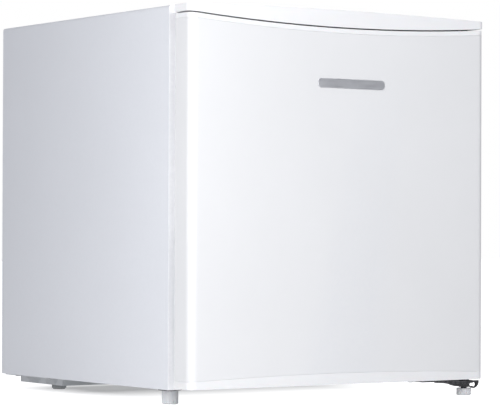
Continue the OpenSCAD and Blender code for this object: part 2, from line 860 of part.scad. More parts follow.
// Hermetic compressor: domed shell, weld flange, base ears and pipe stubs
module compressor() {
    z0 = compressor_z;
    shoulder = 26;
    color("black") {
        translate([compressor_x, bay_mid_y, 0]) rotate_extrude() {
            translate([0, z0 + 4]) square([compressor_r - shoulder, compressor_h - 4]);
            translate([0, z0 + 4 + shoulder])
                square([compressor_r, compressor_h - 4 - 2 * shoulder]);
            for (z = [z0 + 4 + shoulder, z0 + compressor_h - shoulder]) intersection() {
                translate([compressor_r - shoulder, z]) circle(shoulder);
                translate([0, z0]) square([compressor_r, compressor_h]);
            }
            translate([0, z0 + compressor_h * 0.55]) square([compressor_r + 2, 3]);
        }
        difference() {
            union() {
                block([compressor_x - ear_x - 10, bay_mid_y - ear_y - 9, z0],
                      [compressor_x - ear_x + 14, bay_mid_y + ear_y + 9, z0 + 3]);
                block([compressor_x + ear_x - 14, bay_mid_y - ear_y - 9, z0],
                      [compressor_x + ear_x + 10, bay_mid_y + ear_y + 9, z0 + 3]);
                block([compressor_x - ear_x, bay_mid_y - 30, z0],
                      [compressor_x + ear_x, bay_mid_y + 30, z0 + 5]);
            }
            for (place = ears) rod_z(place[0], place[1], z0 - 1, z0 + 6, bolt_r + 1);
        }
        stub_x = compressor_x + compressor_r;
        rod_x(bay_mid_y, suction_stub_z, stub_x - 8, stub_x + stub_l, suction_r + 1.2);
        rod_x(bay_mid_y, discharge_stub_z, stub_x - 8, stub_x + stub_l, coil_r + 1.2);
    }
}

// Rubber mounts between tray and compressor ears
module compressor_grommets() {
    z0 = tray_z + tray_plate_t;
    color("black") for (place = ears) difference() {
        union() {
            rod_z(place[0], place[1], z0, z0 + 3, grommet_r);
            rod_z(place[0], place[1], z0, z0 + grommet_h, grommet_r - 1.5);
        }
        rod_z(place[0], place[1], z0 - 1, z0 + grommet_h + 1, bolt_r);
    }
}

// Bolts through tray, grommets and ears
module compressor_bolts() {
    color("silver") for (place = ears)
        translate([place[0], place[1], 0]) {
            translate([0, 0, tray_z - 2.5]) cylinder(h = compressor_z + 8 - tray_z, r = bolt_r);
            translate([0, 0, tray_z - 3.5]) cylinder(h = 3.5, r = 5.5);
            translate([0, 0, compressor_z + 3]) cylinder(h = 5, r = 5.5, $fn = 6);
        }
}

// Cover over the compressor's terminals and start relay
module relay_cover() {
    length = 44;
    half = 26;
    height = 58;
    x1 = compressor_x - compressor_r + 12;
    z0 = compressor_z + 44;
    color("dimgray") difference() {
        block([x1 - length, bay_mid_y - half, z0], [x1, bay_mid_y + half, z0 + height]);
        rod_z(compressor_x, bay_mid_y, 0, bay_top, compressor_r + 2 + gap);
    }
}

// Rubber gland in the tray's rear wall where the supply enters
module cord_gland() {
    y0 = tray_back - tray_plate_t;
    color("black") difference() {
        union() {
            rod_y(gland_x, gland_z, y0 - 2, y0, gland_flange_r);
            rod_y(gland_x, gland_z, y0 - 1, tray_back + 1, gland_neck_r);
            rod_y(gland_x, gland_z, tray_back, tray_back + 3, gland_flange_r);
        }
        rod_y(gland_x, gland_z, y0 - 5, tray_back + 5, gland_bore_r);
    }
}

// ---------- refrigerant circuit ----------

// Serpentine tube of the condenser
module condenser_tube() {
    color("black") translate([0, coil_y, 0]) {
        for (i = [0 : coil_rows - 1]) translate([-coil_turn_x, 0, coil_low + i * coil_pitch])
            rotate([0, 90, 0]) cylinder(h = 2 * coil_turn_x, r = coil_r);
        for (i = [0 : coil_rows - 2])
            translate([(i % 2 == 0 ? 1 : -1) * coil_turn_x, 0, coil_low + (i + 0.5) * coil_pitch])
                rotate([90, 0, 0]) rotate([0, 0, i % 2 == 0 ? -90 : 90])
                    rotate_extrude(angle = 180) translate([coil_pitch / 2, 0]) circle(coil_r);
    }
}

// Straight wires welded across the serpentine, front and back
module condenser_wires() {
    z0 = coil_low - wire_overhang;
    z1 = coil_high + wire_overhang;
    reach = coil_turn_x - 8;
    color("black") for (i = [0 : wires - 1], face = [-1, 1])
        rod_z(-reach + 2 * reach * i / (wires - 1), coil_y + face * (coil_r + wire_r), z0, z1, wire_r);
}

// Four plastic stand-offs that hold the condenser off the back panel
module condenser_brackets() {
    y0 = panel_y + sheet_t;
    y1 = coil_y - coil_r - 2 * wire_r;
    color("black") for (side = [-1, 1], z = standoff_z) difference() {
        union() {
            block([side * standoff_x - 9, y0, z - 7], [side * standoff_x + 9, y0 + 3, z + 7]);
            block([side * standoff_x - 9, y0, z - 7], [side * standoff_x - 6, y1, z + 7]);
            block([side * standoff_x + 6, y0, z - 7], [side * standoff_x + 9, y1, z + 7]);
        }
        rod_y(side * standoff_x, z, y0 - 1, y0 + 4, screw_r);
    }
}

// Screws through the stand-offs into the back panel
module condenser_screws() {
    color("silver") for (side = [-1, 1], z = standoff_z)
        screw_y(side * standoff_x, panel_y + sheet_t + 3, z, 1);
}

// A tube that rises in the bay, steps back behind the panel and runs on
module stepped_tube(bay_points, step_point, rear_points, r) {
    bent_tube(bay_points, bay_mid_y, r, 3 * r);
    rod_y(step_point[0], step_point[1], bay_mid_y, coil_y, r);
    bent_tube(rear_points, coil_y, r, 3 * r);
    for (y = [bay_mid_y, coil_y]) translate([step_point[0], y, step_point[1]]) sphere(r + 0.8);
}

// Discharge line to the top of the condenser, and its outlet down to the drier
module connecting_pipes() {
    z_step = discharge_stub_z + 34;
    x0 = compressor_x + compressor_r + stub_l;
    color("peru") stepped_tube(
        [[x0, discharge_stub_z], [discharge_x, discharge_stub_z], [discharge_x, z_step]],
        [discharge_x, z_step],
        [[discharge_x, z_step], [discharge_x, coil_high], [coil_turn_x, coil_high]],
        coil_r);
    color("peru") bent_tube(
        [[-coil_turn_x, coil_low], [drier_x, coil_low], [drier_x, drier_z + drier_h]],
        coil_y, coil_r, 3 * coil_r);
}

// Copper filter drier between condenser and capillary
module filter_drier() {
    neck_r = coil_r + 0.8;
    cone = 8;
    color("peru") translate([drier_x, coil_y, drier_z]) rotate_extrude() {
        translate([0, cone]) square([drier_r, drier_h - 2 * cone]);
        polygon([[0, 0], [neck_r, 0], [drier_r, cone], [0, cone]]);
        polygon([[0, drier_h - cone], [drier_r, drier_h - cone], [neck_r, drier_h], [0, drier_h]]);
    }
}

// Thin capillary from the drier up into the foam
module capillary_tube() {
    bend = 5;
    color("peru") {
        bent_tube([[drier_x, drier_z], [drier_x, drier_z - 12], [capillary_x, drier_z - 12],
                   [capillary_x, return_z]], coil_y, capillary_r, bend);
        translate([capillary_x, coil_y, return_z]) sphere(capillary_r + 0.5);
        rod_y(capillary_x, return_z, panel_y - 18, coil_y, capillary_r);
    }
}

// The part of the suction line inside the foam, grown by a clearance
module suction_run(grow) {
    r = suction_r + grow;
    ball_r = suction_r + 0.8 + grow;
    rod_y(suction_x, return_z, foam_run_y, coil_y, r);
    rod_x(foam_run_y, return_z, return_x, suction_x, r);
    rod_y(return_x, return_z, icebox_y1, foam_run_y, r);
    for (x = [suction_x, return_x]) translate([x, foam_run_y, return_z]) sphere(ball_r);
}

// Suction line from the evaporator back to the compressor
module suction_tube() {
    z_step = suction_stub_z + 60;
    x0 = compressor_x + compressor_r + stub_l;
    color("peru") {
        stepped_tube(
            [[x0, suction_stub_z], [suction_x, suction_stub_z], [suction_x, z_step]],
            [suction_x, z_step],
            [[suction_x, z_step], [suction_x, return_z]],
            suction_r);
        suction_run(0);
        translate([suction_x, coil_y, return_z]) sphere(suction_r + 0.8);
    }
}

// ---------- ice box ----------

// Roll-bonded aluminium box that is both evaporator and ice compartment
module evaporator() {
    t = evaporator_t;
    color("lightsteelblue") difference() {
        deep(icebox_y0, icebox_y1) rounded(icebox_x0, icebox_x1, icebox_low, icebox_top, 6);
        deep(icebox_y0 - 1, icebox_y1 - t)
            rounded(icebox_x0 + t, icebox_x1 - t, icebox_low + t, icebox_top - t, 6 - t);
        for (x = hanger_x, y = hanger_y) rod_z(x, y, icebox_top - 3, icebox_top + 1, screw_r);
    }
}

// Plastic spacers between the ice box and the ceiling
module evaporator_spacers() {
    color("white") for (x = hanger_x, y = hanger_y) difference() {
        rod_z(x, y, icebox_top, ceiling_z, 6);
        rod_z(x, y, icebox_top - 1, ceiling_z + 1, screw_r);
    }
}

// Screws up through the ice box, the spacers and the liner
module evaporator_screws() {
    z0 = icebox_top - evaporator_t;
    color("silver") for (x = hanger_x, y = hanger_y) screw_up(x, y, z0, ceiling_z + hanger_l - z0);
}

// Plastic bezel on the ice box's mouth with two ears for the flap
module icebox_frame() {
    y0 = icebox_y0 - frame_t;
    band = 7;
    color("white") difference() {
        union() {
            deep(y0, icebox_y0) difference() {
                rounded(icebox_x0 - 2, icebox_x1 + 2, icebox_low - 2, icebox_top + 2, 6);
                rounded(icebox_x0 + band, icebox_x1 - band, icebox_low + band, icebox_top - band - 5, 4);
            }
            for (x = [icebox_x0 - 2, icebox_x1 + 2 - ear_t])
                block([x, flap_y - 5, flap_z - 5], [x + ear_t, y0 + 1, flap_z + 5]);
        }
        rod_x(flap_y, flap_z, icebox_x0 - 5, icebox_x1 + 5, flap_pin_r + run_gap);
    }
}

// Drop-front flap of the ice box, with its pins moulded on
module icebox_flap() {
    x0 = icebox_x0 - 2 + ear_t + gap;
    x1 = icebox_x1 + 2 - ear_t - gap;
    y0 = flap_y - flap_t / 2;
    color("aliceblue") {
        block([x0, y0, flap_low], [x1, y0 + flap_t, flap_z + 2]);
        rod_x(flap_y, flap_z, icebox_x0 - 2, icebox_x1 + 2, flap_pin_r);
        block([(x0 + x1) / 2 - 40, y0 - 6, flap_low], [(x0 + x1) / 2 + 40, y0 + 1, flap_low + 2.5]);
    }
}

// Pair of L-section rails under the ice box
module drip_tray_rails() {
    color("white") {
        block([icebox_x0, icebox_y0, icebox_low - rail_h], [icebox_x0 + 2, icebox_y1, icebox_low]);
        block([icebox_x0, icebox_y0, icebox_low - rail_h],
              [icebox_x0 + rail_lip, icebox_y1, icebox_low - rail_h + 3]);
        block([icebox_x1 - 2, icebox_y0, icebox_low - rail_h], [icebox_x1, icebox_y1, icebox_low]);
        block([icebox_x1 - rail_lip, icebox_y0, icebox_low - rail_h],
              [icebox_x1, icebox_y1, icebox_low - rail_h + 3]);
    }
}

// Shallow tray that slides on the rails
module drip_tray() {
    x0 = icebox_x0 + rail_lip + 1;
    x1 = icebox_x1 - rail_lip - 1;
    z1 = tray_lip_z + tray_t;
    color("aliceblue") {
        difference() {
            block([x0, tray_y0, tray_lip_z - tray_depth], [x1, tray_y1, z1]);
            block([x0 + tray_t, tray_y0 + tray_t, tray_lip_z - tray_depth + tray_t],
                  [x1 - tray_t, tray_y1 - tray_t, z1 + 1]);
        }
        block([tray_x0, icebox_y0 + 1, tray_lip_z], [x0 + 1, tray_y1, z1]);
        block([x1 - 1, icebox_y0 + 1, tray_lip_z], [tray_x1, tray_y1, z1]);
        block([x0 + 70, tray_y0 - 7, z1 - 2], [x1 - 70, tray_y0 + 1, z1]);
    }
}

// ---------- shelf and thermostat ----------

// Wire shelf: welded frame with bars from front to back
module wire_shelf() {
    x = shelf_x - shelf_frame_r;
    y0 = shelf_y0 + shelf_frame_r;
    y1 = shelf_y1 - shelf_frame_r;
    color("white") {
        for (side = [-1, 1]) rod_y(side * x, shelf_z, y0, y1, shelf_frame_r);
        for (y = [y0, y1]) rod_x(y, shelf_z, -x, x, shelf_frame_r);
        for (sx = [-1, 1], y = [y0, y1]) translate([sx * x, y, shelf_z]) sphere(shelf_frame_r + 0.01);
        for (i = [1 : shelf_bars])
            rod_y(-x + 2 * x * i / (shelf_bars + 1), shelf_z, y0, y1, shelf_bar_r);
        rod_x((y0 + y1) / 2, shelf_z, -x, x, shelf_frame_r - 0.5);
    }
}

// Moulded thermostat box under the ceiling, with vents in its underside
module thermostat_housing() {
    t = 2;
    x0 = stat_x - stat_w / 2;
    x1 = stat_x + stat_w / 2;
    y1 = stat_y0 + stat_d;
    z0 = ceiling_z - stat_h;
    vent_half = 25;
    vent_pitch = 6;
    color("white") difference() {
        block([x0, stat_y0, z0], [x1, y1, ceiling_z]);
        block([x0 + t, stat_y0 + t, z0 + t], [x1 - t, y1 - t, ceiling_z + 1]);
        rod_y(stat_x, stat_z, stat_y0 - 1, stat_y0 + t + 1, shaft_r + 0.5);
        for (y = [stat_y0 + 34 : vent_pitch : y1 - 20])
            block([stat_x - vent_half, y, z0 - 1], [stat_x + vent_half, y + vent_pitch / 2, z0 + t + 1]);
    }
}

// Thermostat switch behind the housing's front wall
module thermostat_switch() {
    color("dimgray") difference() {
        block([stat_x - 16, stat_y0 + 2, stat_z - 12], [stat_x + 16, stat_y0 + 30, stat_z + 12]);
        rod_y(stat_x, stat_z, stat_y0, stat_y0 + 16, shaft_r + run_gap);
    }
}

// Knob and its shaft
module thermostat_knob() {
    y1 = stat_y0 - gap;
    color("whitesmoke") {
        difference() {
            rod_y(stat_x, stat_z, y1 - knob_l, y1, knob_r);
            for (a = [0 : 24 : 336]) translate([stat_x, 0, stat_z]) rotate([0, a, 0])
                rod_y(0, knob_r + 0.8, y1 - knob_l - 1, y1 - 3, 1.6);
        }
        block([stat_x - 2, y1 - knob_l - 3, stat_z], [stat_x + 2, y1 - knob_l + 1, stat_z + knob_r - 4]);
        rod_y(stat_x, stat_z, y1 - 1, stat_y0 + 15, shaft_r);
    }
}

// Sensing bulb clipped along the ice box's side
module thermostat_bulb() {
    x = icebox_x1 + 2.5;
    z = icebox_low + 55;
    color("peru") {
        rod_y(x, z, icebox_y0 + 40, icebox_y0 + 130, 2.5);
        rod_x(icebox_y0 + 40, z, x, stat_x - stat_w / 2, 1);
    }
}

// ---------- door ----------

// Whole height of the door's elevation at one inset from its edges
module door_elevation(low, high_drop, y0, y1) {
    difference() {
        block([-side_x, y0, low], [side_x, y1, top_z]);
        above_dip(door_top - high_drop, y0 - 1, y1 + 1);
    }
}

// Painted skin: front and both sides, hemmed at the back
module door_skin() {
    seam = 0.12;
    color("white") difference() {
        intersection() {
            union() {
                difference() {
                    translate([0, 0, door_z]) linear_extrude(cabinet_h) door_plan(door_x, 0, door_back);
                    translate([0, 0, door_z - 1]) linear_extrude(cabinet_h + 2)
                        door_plan(door_x, sheet_t, door_back + 1);
                }
                for (side = [-1, 1]) mirror([side < 0 ? 0 : 1, 0, 0])
                    block([-door_x, door_back - sheet_t, liner_low],
                          [-door_x + hem_w, door_back, liner_high]);
            }
            door_elevation(door_z, top_cap_h + seam, door_front - 1, door_back + 1);
        }
        below_crown(door_z + bottom_cap_h + seam, cap_r, door_front - 1, door_back + 1);
    }
}

// Moulded cap along the door's curved top, with a skirt down its back
module door_top_cap() {
    color("white") difference() {
        intersection() {
            translate([0, 0, door_z]) linear_extrude(cabinet_h) door_plan(door_x, 0, door_back);
            door_elevation(door_z, 0, door_front - 1, door_back + 1);
            union() {
                above_dip(door_top - top_cap_h, door_front - 1, door_back + 1);
                block([-door_x + sheet_t, door_back - cap_wall, liner_high],
                      [door_x - sheet_t, door_back + 1, top_z]);
            }
        }
        intersection() {
            translate([0, 0, door_z]) linear_extrude(cabinet_h)
                door_plan(door_x, cap_wall, door_back - cap_wall);
            door_elevation(door_z, cap_wall, door_front - 1, door_back + 1);
        }
        rod_z(hinge_x, hinge_y, door_top - 20, top_z, bush_r);
    }
}

// Moulded cap along the door's bottom
module door_bottom_cap() {
    color("white") difference() {
        union() {
            intersection() {
                translate([0, 0, door_z]) linear_extrude(60) door_plan(door_x, 0, door_back);
                below_crown(door_z + bottom_cap_h, cap_r, door_front - 1, door_back + 1);
            }
            block([-door_x + sheet_t, door_back - cap_wall, door_z],
                  [door_x - sheet_t, door_back, liner_low]);
        }
        translate([0, 0, door_z + cap_wall]) linear_extrude(60)
            door_plan(door_x, cap_wall, door_back - cap_wall);
        rod_z(hinge_x, hinge_y, 0, door_z + 30, bush_r);
    }
}

// Foam core of the door
module door_foam() {
    color("khaki") difference() {
        union() {
            intersection() {
                translate([0, 0, door_z + cap_wall]) linear_extrude(cabinet_h)
                    door_plan(door_x, cap_wall, door_back - cap_wall);
                door_elevation(door_z, cap_wall, door_front - 1, door_back + 1);
            }
            translate([0, 0, liner_low + 1]) linear_extrude(liner_high - liner_low - 8)
                door_plan(door_x, sheet_t, door_back - liner_t);
            picture_frame(plug_x - liner_t, plug_low + liner_t, plug_high - liner_t,
                          plug_band - 2 * liner_t, door_back - liner_t, plug_y - liner_t);
        }
        rod_z(hinge_x, hinge_y, 0, door_z + bush_depth, bush_r);
        rod_z(hinge_x, hinge_y, door_top + 6 - bush_depth, top_z, bush_r);
    }
}

// White inner liner of the door with a raised frame that carries the racks
module door_liner() {
    color("white") difference() {
        union() {
            block([-door_x + hem_w, door_back - liner_t, liner_low],
                  [door_x - hem_w, door_back, liner_high]);
            picture_frame(plug_x, plug_low, plug_high, plug_band, door_back - liner_t, plug_y);
        }
        picture_frame(plug_x - liner_t, plug_low + liner_t, plug_high - liner_t,
                      plug_band - 2 * liner_t, door_back - liner_t - 1, plug_y - liner_t);
    }
}

// Magnetic gasket: a channel round the door with a pleat on its outer side
module door_gasket() {
    color("whitesmoke") difference() {
        picture_frame(gasket_x, gasket_low, gasket_high, gasket_w, door_back, cab_front);
        picture_frame(gasket_x - 4, gasket_low + 4, gasket_high - 4, gasket_w - 8,
                      door_back - 1, cab_front - 1.5);
        picture_frame(gasket_x + 1, gasket_low - 1, gasket_high + 1, 3.4,
                      door_back + 3, door_back + 6);
    }
}

// Four magnet strips in the gasket's channel
module gasket_magnets() {
    y0 = cab_front - 1.5 - magnet_t;
    y1 = cab_front - 1.5;
    inset = 4;
    color("dimgray") {
        for (z = [gasket_low + inset, gasket_high - inset - magnet_w])
            block([-gasket_x + inset + magnet_w + 1, y0, z],
                  [gasket_x - inset - magnet_w - 1, y1, z + magnet_w]);
        for (x = [-gasket_x + inset, gasket_x - inset - magnet_w])
            block([x, y0, gasket_low + inset], [x + magnet_w, y1, gasket_high - inset]);
    }
}

// Bush in the door's top for the upper pin
module upper_door_bush() {
    z0 = door_top + 6 - bush_depth;
    color("white") difference() {
        rod_z(hinge_x, hinge_y, z0, z0 + bush_depth, bush_r);
        rod_z(hinge_x, hinge_y, z0 + 2.5, z0 + bush_depth + 1, pin_r + run_gap);
    }
}

// Bush in the door's bottom for the lower pin
module lower_door_bush() {
    color("white") difference() {
        rod_z(hinge_x, hinge_y, door_z, door_z + bush_depth, bush_r);
        rod_z(hinge_x, hinge_y, door_z - 1, door_z + bush_depth - 2.5, pin_r + run_gap);
    }
}

// Open-topped rack between the door liner's uprights
module rack(z0, h, floor_t) {
    t = rack_t;
    difference() {
        translate([0, 0, z0]) linear_extrude(h) rack_plan(0);
        translate([0, 0, z0 + floor_t]) linear_extrude(h) rack_plan(t);
        for (x = [-rack_x + 30 : 28 : rack_x - 30])
            rod_z(x, (door_back + rack_y1) / 2, z0 - 1, z0 + 6, 4);
        block([-rack_x + 16, rack_y1 - 5, z0 + h * 0.45], [rack_x - 16, rack_y1 + 1, z0 + h * 0.62]);
    }
}

// Plan of a rack: square against the door, rounded inside
module rack_plan(inset) {
    r = rack_r - inset;
    x = rack_x - inset;
    y1 = rack_y1 - inset;
    translate([-x, door_back + inset]) square([2 * x, y1 - r - door_back - inset]);
    translate([-x + r, door_back + inset]) square([2 * (x - r), y1 - door_back - inset]);
    for (side = [-1, 1]) translate([side * (x - r), y1 - r]) circle(r);
}

// Upper rack, for small jars
module upper_rack() {
    color("aliceblue") rack(upper_rack_z, upper_rack_h, rack_t);
}

// Lower rack, for bottles
module lower_rack() {
    color("aliceblue") rack(lower_rack_z, lower_rack_h, rack_t);
}

// Plain blank badge glued on the door's front
module badge() {
    color("silver") deep(door_front - badge_t, door_front)
        rounded(badge_x - badge_w / 2, badge_x + badge_w / 2,
                badge_z - badge_h / 2, badge_z + badge_h / 2, badge_h / 2 - 1);
}

cabinet_shell();
base_panel();
bay_panel();
back_panel();
inner_liner();
cabinet_foam();
top_fascia();
fascia_screws();
upper_hinge_bracket();
upper_hinge_screws();
upper_hinge_pin();
lower_hinge_bracket();
lower_bracket_screws();
lower_hinge_pin();
hinge_lock_nut();
left_foot_plate();
foot_plate_screws();
left_front_foot();
left_foot_stud();
right_front_foot();
rear_glides();
compressor_tray();
tray_screws();
compressor();
compressor_grommets();
compressor_bolts();
relay_cover();
cord_gland();
condenser_tube();
condenser_wires();
condenser_brackets();
condenser_screws();
connecting_pipes();
filter_drier();
capillary_tube();
suction_tube();
evaporator();
evaporator_spacers();
evaporator_screws();
icebox_frame();
icebox_flap();
drip_tray_rails();
drip_tray();
wire_shelf();
thermostat_housing();
thermostat_switch();
thermostat_knob();
thermostat_bulb();
door_skin();
door_top_cap();
door_bottom_cap();
door_foam();
door_liner();
door_gasket();
gasket_magnets();
upper_door_bush();
lower_door_bush();
upper_rack();
lower_rack();
badge();
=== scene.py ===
import math

import bmesh
import bpy
from mathutils import Matrix, Vector


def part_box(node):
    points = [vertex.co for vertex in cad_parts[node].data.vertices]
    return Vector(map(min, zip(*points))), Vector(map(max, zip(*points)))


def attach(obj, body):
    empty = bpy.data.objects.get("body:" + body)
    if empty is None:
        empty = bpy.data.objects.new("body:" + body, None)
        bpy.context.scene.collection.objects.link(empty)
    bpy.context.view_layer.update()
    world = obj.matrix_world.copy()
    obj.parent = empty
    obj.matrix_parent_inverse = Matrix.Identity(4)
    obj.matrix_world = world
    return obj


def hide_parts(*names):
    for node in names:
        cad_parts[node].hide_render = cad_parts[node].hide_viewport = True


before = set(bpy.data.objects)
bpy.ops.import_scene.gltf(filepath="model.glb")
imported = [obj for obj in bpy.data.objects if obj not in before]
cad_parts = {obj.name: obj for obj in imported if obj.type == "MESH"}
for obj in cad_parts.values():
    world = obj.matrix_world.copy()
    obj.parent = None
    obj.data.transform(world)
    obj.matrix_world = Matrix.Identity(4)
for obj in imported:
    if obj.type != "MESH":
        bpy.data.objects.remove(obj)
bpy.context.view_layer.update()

MM = 0.001
scene = bpy.context.scene


# ---------- node materials ----------

class Look:
    """A principled material with helpers that add procedural detail to it."""

    def __init__(self, name, colour, roughness, metallic=0.0, **constants):
        self.material = bpy.data.materials.new("look_" + name)
        self.material.use_nodes = True
        self.material.diffuse_color = (*colour, 1)
        tree = self.material.node_tree
        self.nodes, self.links = tree.nodes, tree.links
        self.bsdf = self.nodes["Principled BSDF"]
        self.colour, self.normal = None, None
        self.base = (*colour, 1)
        self.bsdf.inputs["Base Color"].default_value = self.base
        self.bsdf.inputs["Roughness"].default_value = roughness
        self.bsdf.inputs["Metallic"].default_value = metallic
        for key, value in constants.items():
            self.bsdf.inputs[key.replace("_", " ")].default_value = value
        self.where = self.nodes.new("ShaderNodeTexCoord").outputs["Object"]

    def add(self, kind, **settings):
        node = self.nodes.new("ShaderNode" + kind)
        for key, value in settings.items():
            setattr(node, key, value)
        return node

    def stretched(self, scale):
        """Object coordinates scaled differently along each axis."""
        node = self.add("Mapping")
        node.inputs["Scale"].default_value = scale
        self.links.new(self.where, node.inputs["Vector"])
        return node.outputs[0]

    def noise(self, scale, detail=2.0, along=None, distortion=0.0):
        node = self.add("TexNoise")
        node.inputs["Scale"].default_value = scale
        node.inputs["Detail"].default_value = detail
        node.inputs["Distortion"].default_value = distortion
        self.links.new(self.stretched(along) if along else self.where, node.inputs["Vector"])
        return node.outputs["Fac"]

    def cells(self, scale, output="Distance", feature="F1"):
        node = self.add("TexVoronoi", feature=feature)
        node.inputs["Scale"].default_value = scale
        self.links.new(self.where, node.inputs["Vector"])
        return node.outputs[output]

    def remap(self, value, low, high, to_low, to_high):
        node = self.add("MapRange", clamp=True)
        self.links.new(value, node.inputs["Value"])
        for key, number in (("From Min", low), ("From Max", high),
                            ("To Min", to_low), ("To Max", to_high)):
            node.inputs[key].default_value = number
        return node.outputs[0]

    def times(self, a, b):
        node = self.add("Math", operation="MULTIPLY")
        self.links.new(a, node.inputs[0])
        self.links.new(b, node.inputs[1])
        return node.outputs[0]

    def edges(self, sharpness=0.02):
        """1 on convex edges, 0 on flat faces; used for worn edges and for painted highlights."""
        point = self.add("NewGeometry").outputs["Pointiness"]
        return self.remap(point, 0.5 + sharpness, 0.5 + 4 * sharpness, 0.0, 1.0)

    def hollows(self, depth=0.02):
        """1 in concave corners, which the materials darken as painted shade."""
        point = self.add("NewGeometry").outputs["Pointiness"]
        return self.remap(point, 0.5 - depth, 0.5 - 4 * depth, 0.0, 1.0)

    def upward(self):
        """1 on faces that look up."""
        split = self.add("SeparateXYZ")
        self.links.new(self.add("NewGeometry").outputs["Normal"], split.inputs[0])
        return self.remap(split.outputs["Z"], 0.3, 1.0, 0.0, 1.0)

    def facing_front(self):
        """1 on faces turned towards the front of the fridge, which get a paler colour as painted
        light.
        """
        split = self.add("SeparateXYZ")
        self.links.new(self.add("TexCoord").outputs["Normal"], split.inputs[0])
        return self.remap(split.outputs["Y"], -0.7, -0.95, 0.0, 1.0)

    def tint(self, mask, colour, strength=1.0):
        """Mixes a colour over the base where the mask is high."""
        node = self.add("Mix", data_type="RGBA", blend_type="MIX")
        factor = self.remap(mask, 0.0, 1.0, 0.0, strength)
        self.links.new(factor, node.inputs["Factor"])
        if self.colour is None:
            node.inputs["A"].default_value = self.base
        else:
            self.links.new(self.colour, node.inputs["A"])
        node.inputs["B"].default_value = (*colour, 1)
        self.colour = node.outputs["Result"]
        self.links.new(self.colour, self.bsdf.inputs["Base Color"])
        return self

    def vary_roughness(self, value, low, high):
        spread = self.remap(value, 0.3, 0.7, low, high)
        self.links.new(spread, self.bsdf.inputs["Roughness"])
        return self

    def bump(self, height, depth_mm):
        node = self.add("Bump")
        node.inputs["Strength"].default_value = 1.0
        node.inputs["Distance"].default_value = depth_mm * MM
        self.links.new(height, node.inputs["Height"])
        if self.normal is not None:
            self.links.new(self.normal, node.inputs["Normal"])
        self.normal = node.outputs[0]
        self.links.new(self.normal, self.bsdf.inputs["Normal"])
        return self


WORN_WHITE = (0.62, 0.64, 0.68)


def painted_steel(name, colour, roughness, peel=0.012, painted_light_front=None):
    """Stoved enamel on sheet steel: orange peel, faint sheet waviness, soft scuffs, painted shade
    in the hollows.

    The front colour is painted light: a paler colour for the faces turned towards the front of the
    fridge, while the other faces keep the darker base colour as painted shade.
    """
    look = Look(name, colour, roughness, Coat_Weight=0.25, Coat_Roughness=0.18)
    # Painted light: faces turned to the front get a paler colour than the sides.
    if painted_light_front:
        look.tint(look.facing_front(), painted_light_front)
    shade = tuple(c * 0.955 for c in colour)
    look.tint(look.remap(look.noise(5, 3), 0.35, 0.7, 0, 1), shade, 0.5)
    look.tint(look.remap(look.noise(60, 4), 0.5, 0.75, 0, 1), shade, 0.1)
    look.tint(look.times(look.edges(0.03), look.noise(240, 3)), WORN_WHITE, 0.35)
    # Painted shade: concave corners are darkened.
    look.tint(look.hollows(0.03), tuple(c * 0.8 for c in colour), 0.4)
    look.vary_roughness(look.noise(11, 5, distortion=0.4), roughness - 0.02, roughness + 0.03)
    look.bump(look.noise(4, 1), 0.2)
    look.bump(look.noise(420, 2), peel)
    look.bump(look.noise(1400, 1), peel * 0.35)
    return look.material


def moulded(name, colour, roughness, grain=0.015, **constants):
    """Injection-moulded plastic: spark-eroded grain, flow marks, painted shade in the corners and
    painted highlights on the edges.
    """
    constants.setdefault("Subsurface_Weight", 0.04)
    constants.setdefault("Subsurface_Scale", 0.004)
    look = Look(name, colour, roughness, **constants)
    shade = tuple(c * 0.965 for c in colour)
    look.tint(look.remap(look.noise(7, 2), 0.35, 0.7, 0, 1), shade, 0.35)
    # Painted shade: concave corners are darkened.
    look.tint(look.hollows(0.025), tuple(c * 0.72 for c in colour), 0.45)
    # Painted highlight: convex edges are lightened.
    look.tint(look.edges(0.03), tuple(min(1, c * 1.12 + 0.02) for c in colour), 0.3)
    look.vary_roughness(look.noise(300, 2), roughness - 0.015, roughness + 0.02)
    look.bump(look.cells(1900), grain)
    look.bump(look.noise(900, 3), grain * 0.6)
    return look.material


def bare_metal(name, colour, roughness, along, stain, stain_share=0.35, **constants):
    """Rolled, drawn or plated metal: directional scratches, blotchy tarnish, painted shade in the
    hollows and painted highlights on the edges.
    """
    look = Look(name, colour, roughness, metallic=1.0, **constants)
    look.tint(look.remap(look.noise(70, 5, distortion=0.8), 0.45, 0.75, 0, 1), stain, stain_share)
    # Painted shade: concave corners are darkened.
    look.tint(look.hollows(0.03), tuple(c * 0.35 for c in colour), 0.6)
    # Painted highlight: convex edges are lightened.
    look.tint(look.edges(0.03), tuple(min(1, c * 1.25) for c in colour), 0.5)
    lines = look.noise(160, 4, along=along)
    look.vary_roughness(lines, roughness - 0.08, roughness + 0.14)
    look.bump(lines, 0.01)
    return look.material


def enamelled(name, colour, roughness):
    """Black stove enamel on steel with dust on top and bright wear along the edges."""
    look = Look(name, colour, roughness, Coat_Weight=0.15, Coat_Roughness=0.25)
    mottled = tuple(c * 1.7 + 0.01 for c in colour)
    look.tint(look.remap(look.noise(26, 4), 0.4, 0.7, 0, 1), mottled, 0.6)
    rubbed = look.times(look.edges(0.02), look.remap(look.noise(500, 3), 0.4, 0.6, 0, 1))
    look.tint(rubbed, (0.22, 0.22, 0.23), 0.8)
    settled = look.times(look.upward(), look.remap(look.noise(130, 6), 0.35, 0.65, 0, 1))
    look.tint(settled, (0.28, 0.27, 0.25), 0.25)
    look.vary_roughness(look.noise(90, 4), roughness - 0.08, roughness + 0.15)
    look.bump(look.noise(700, 2), 0.02)
    return look.material


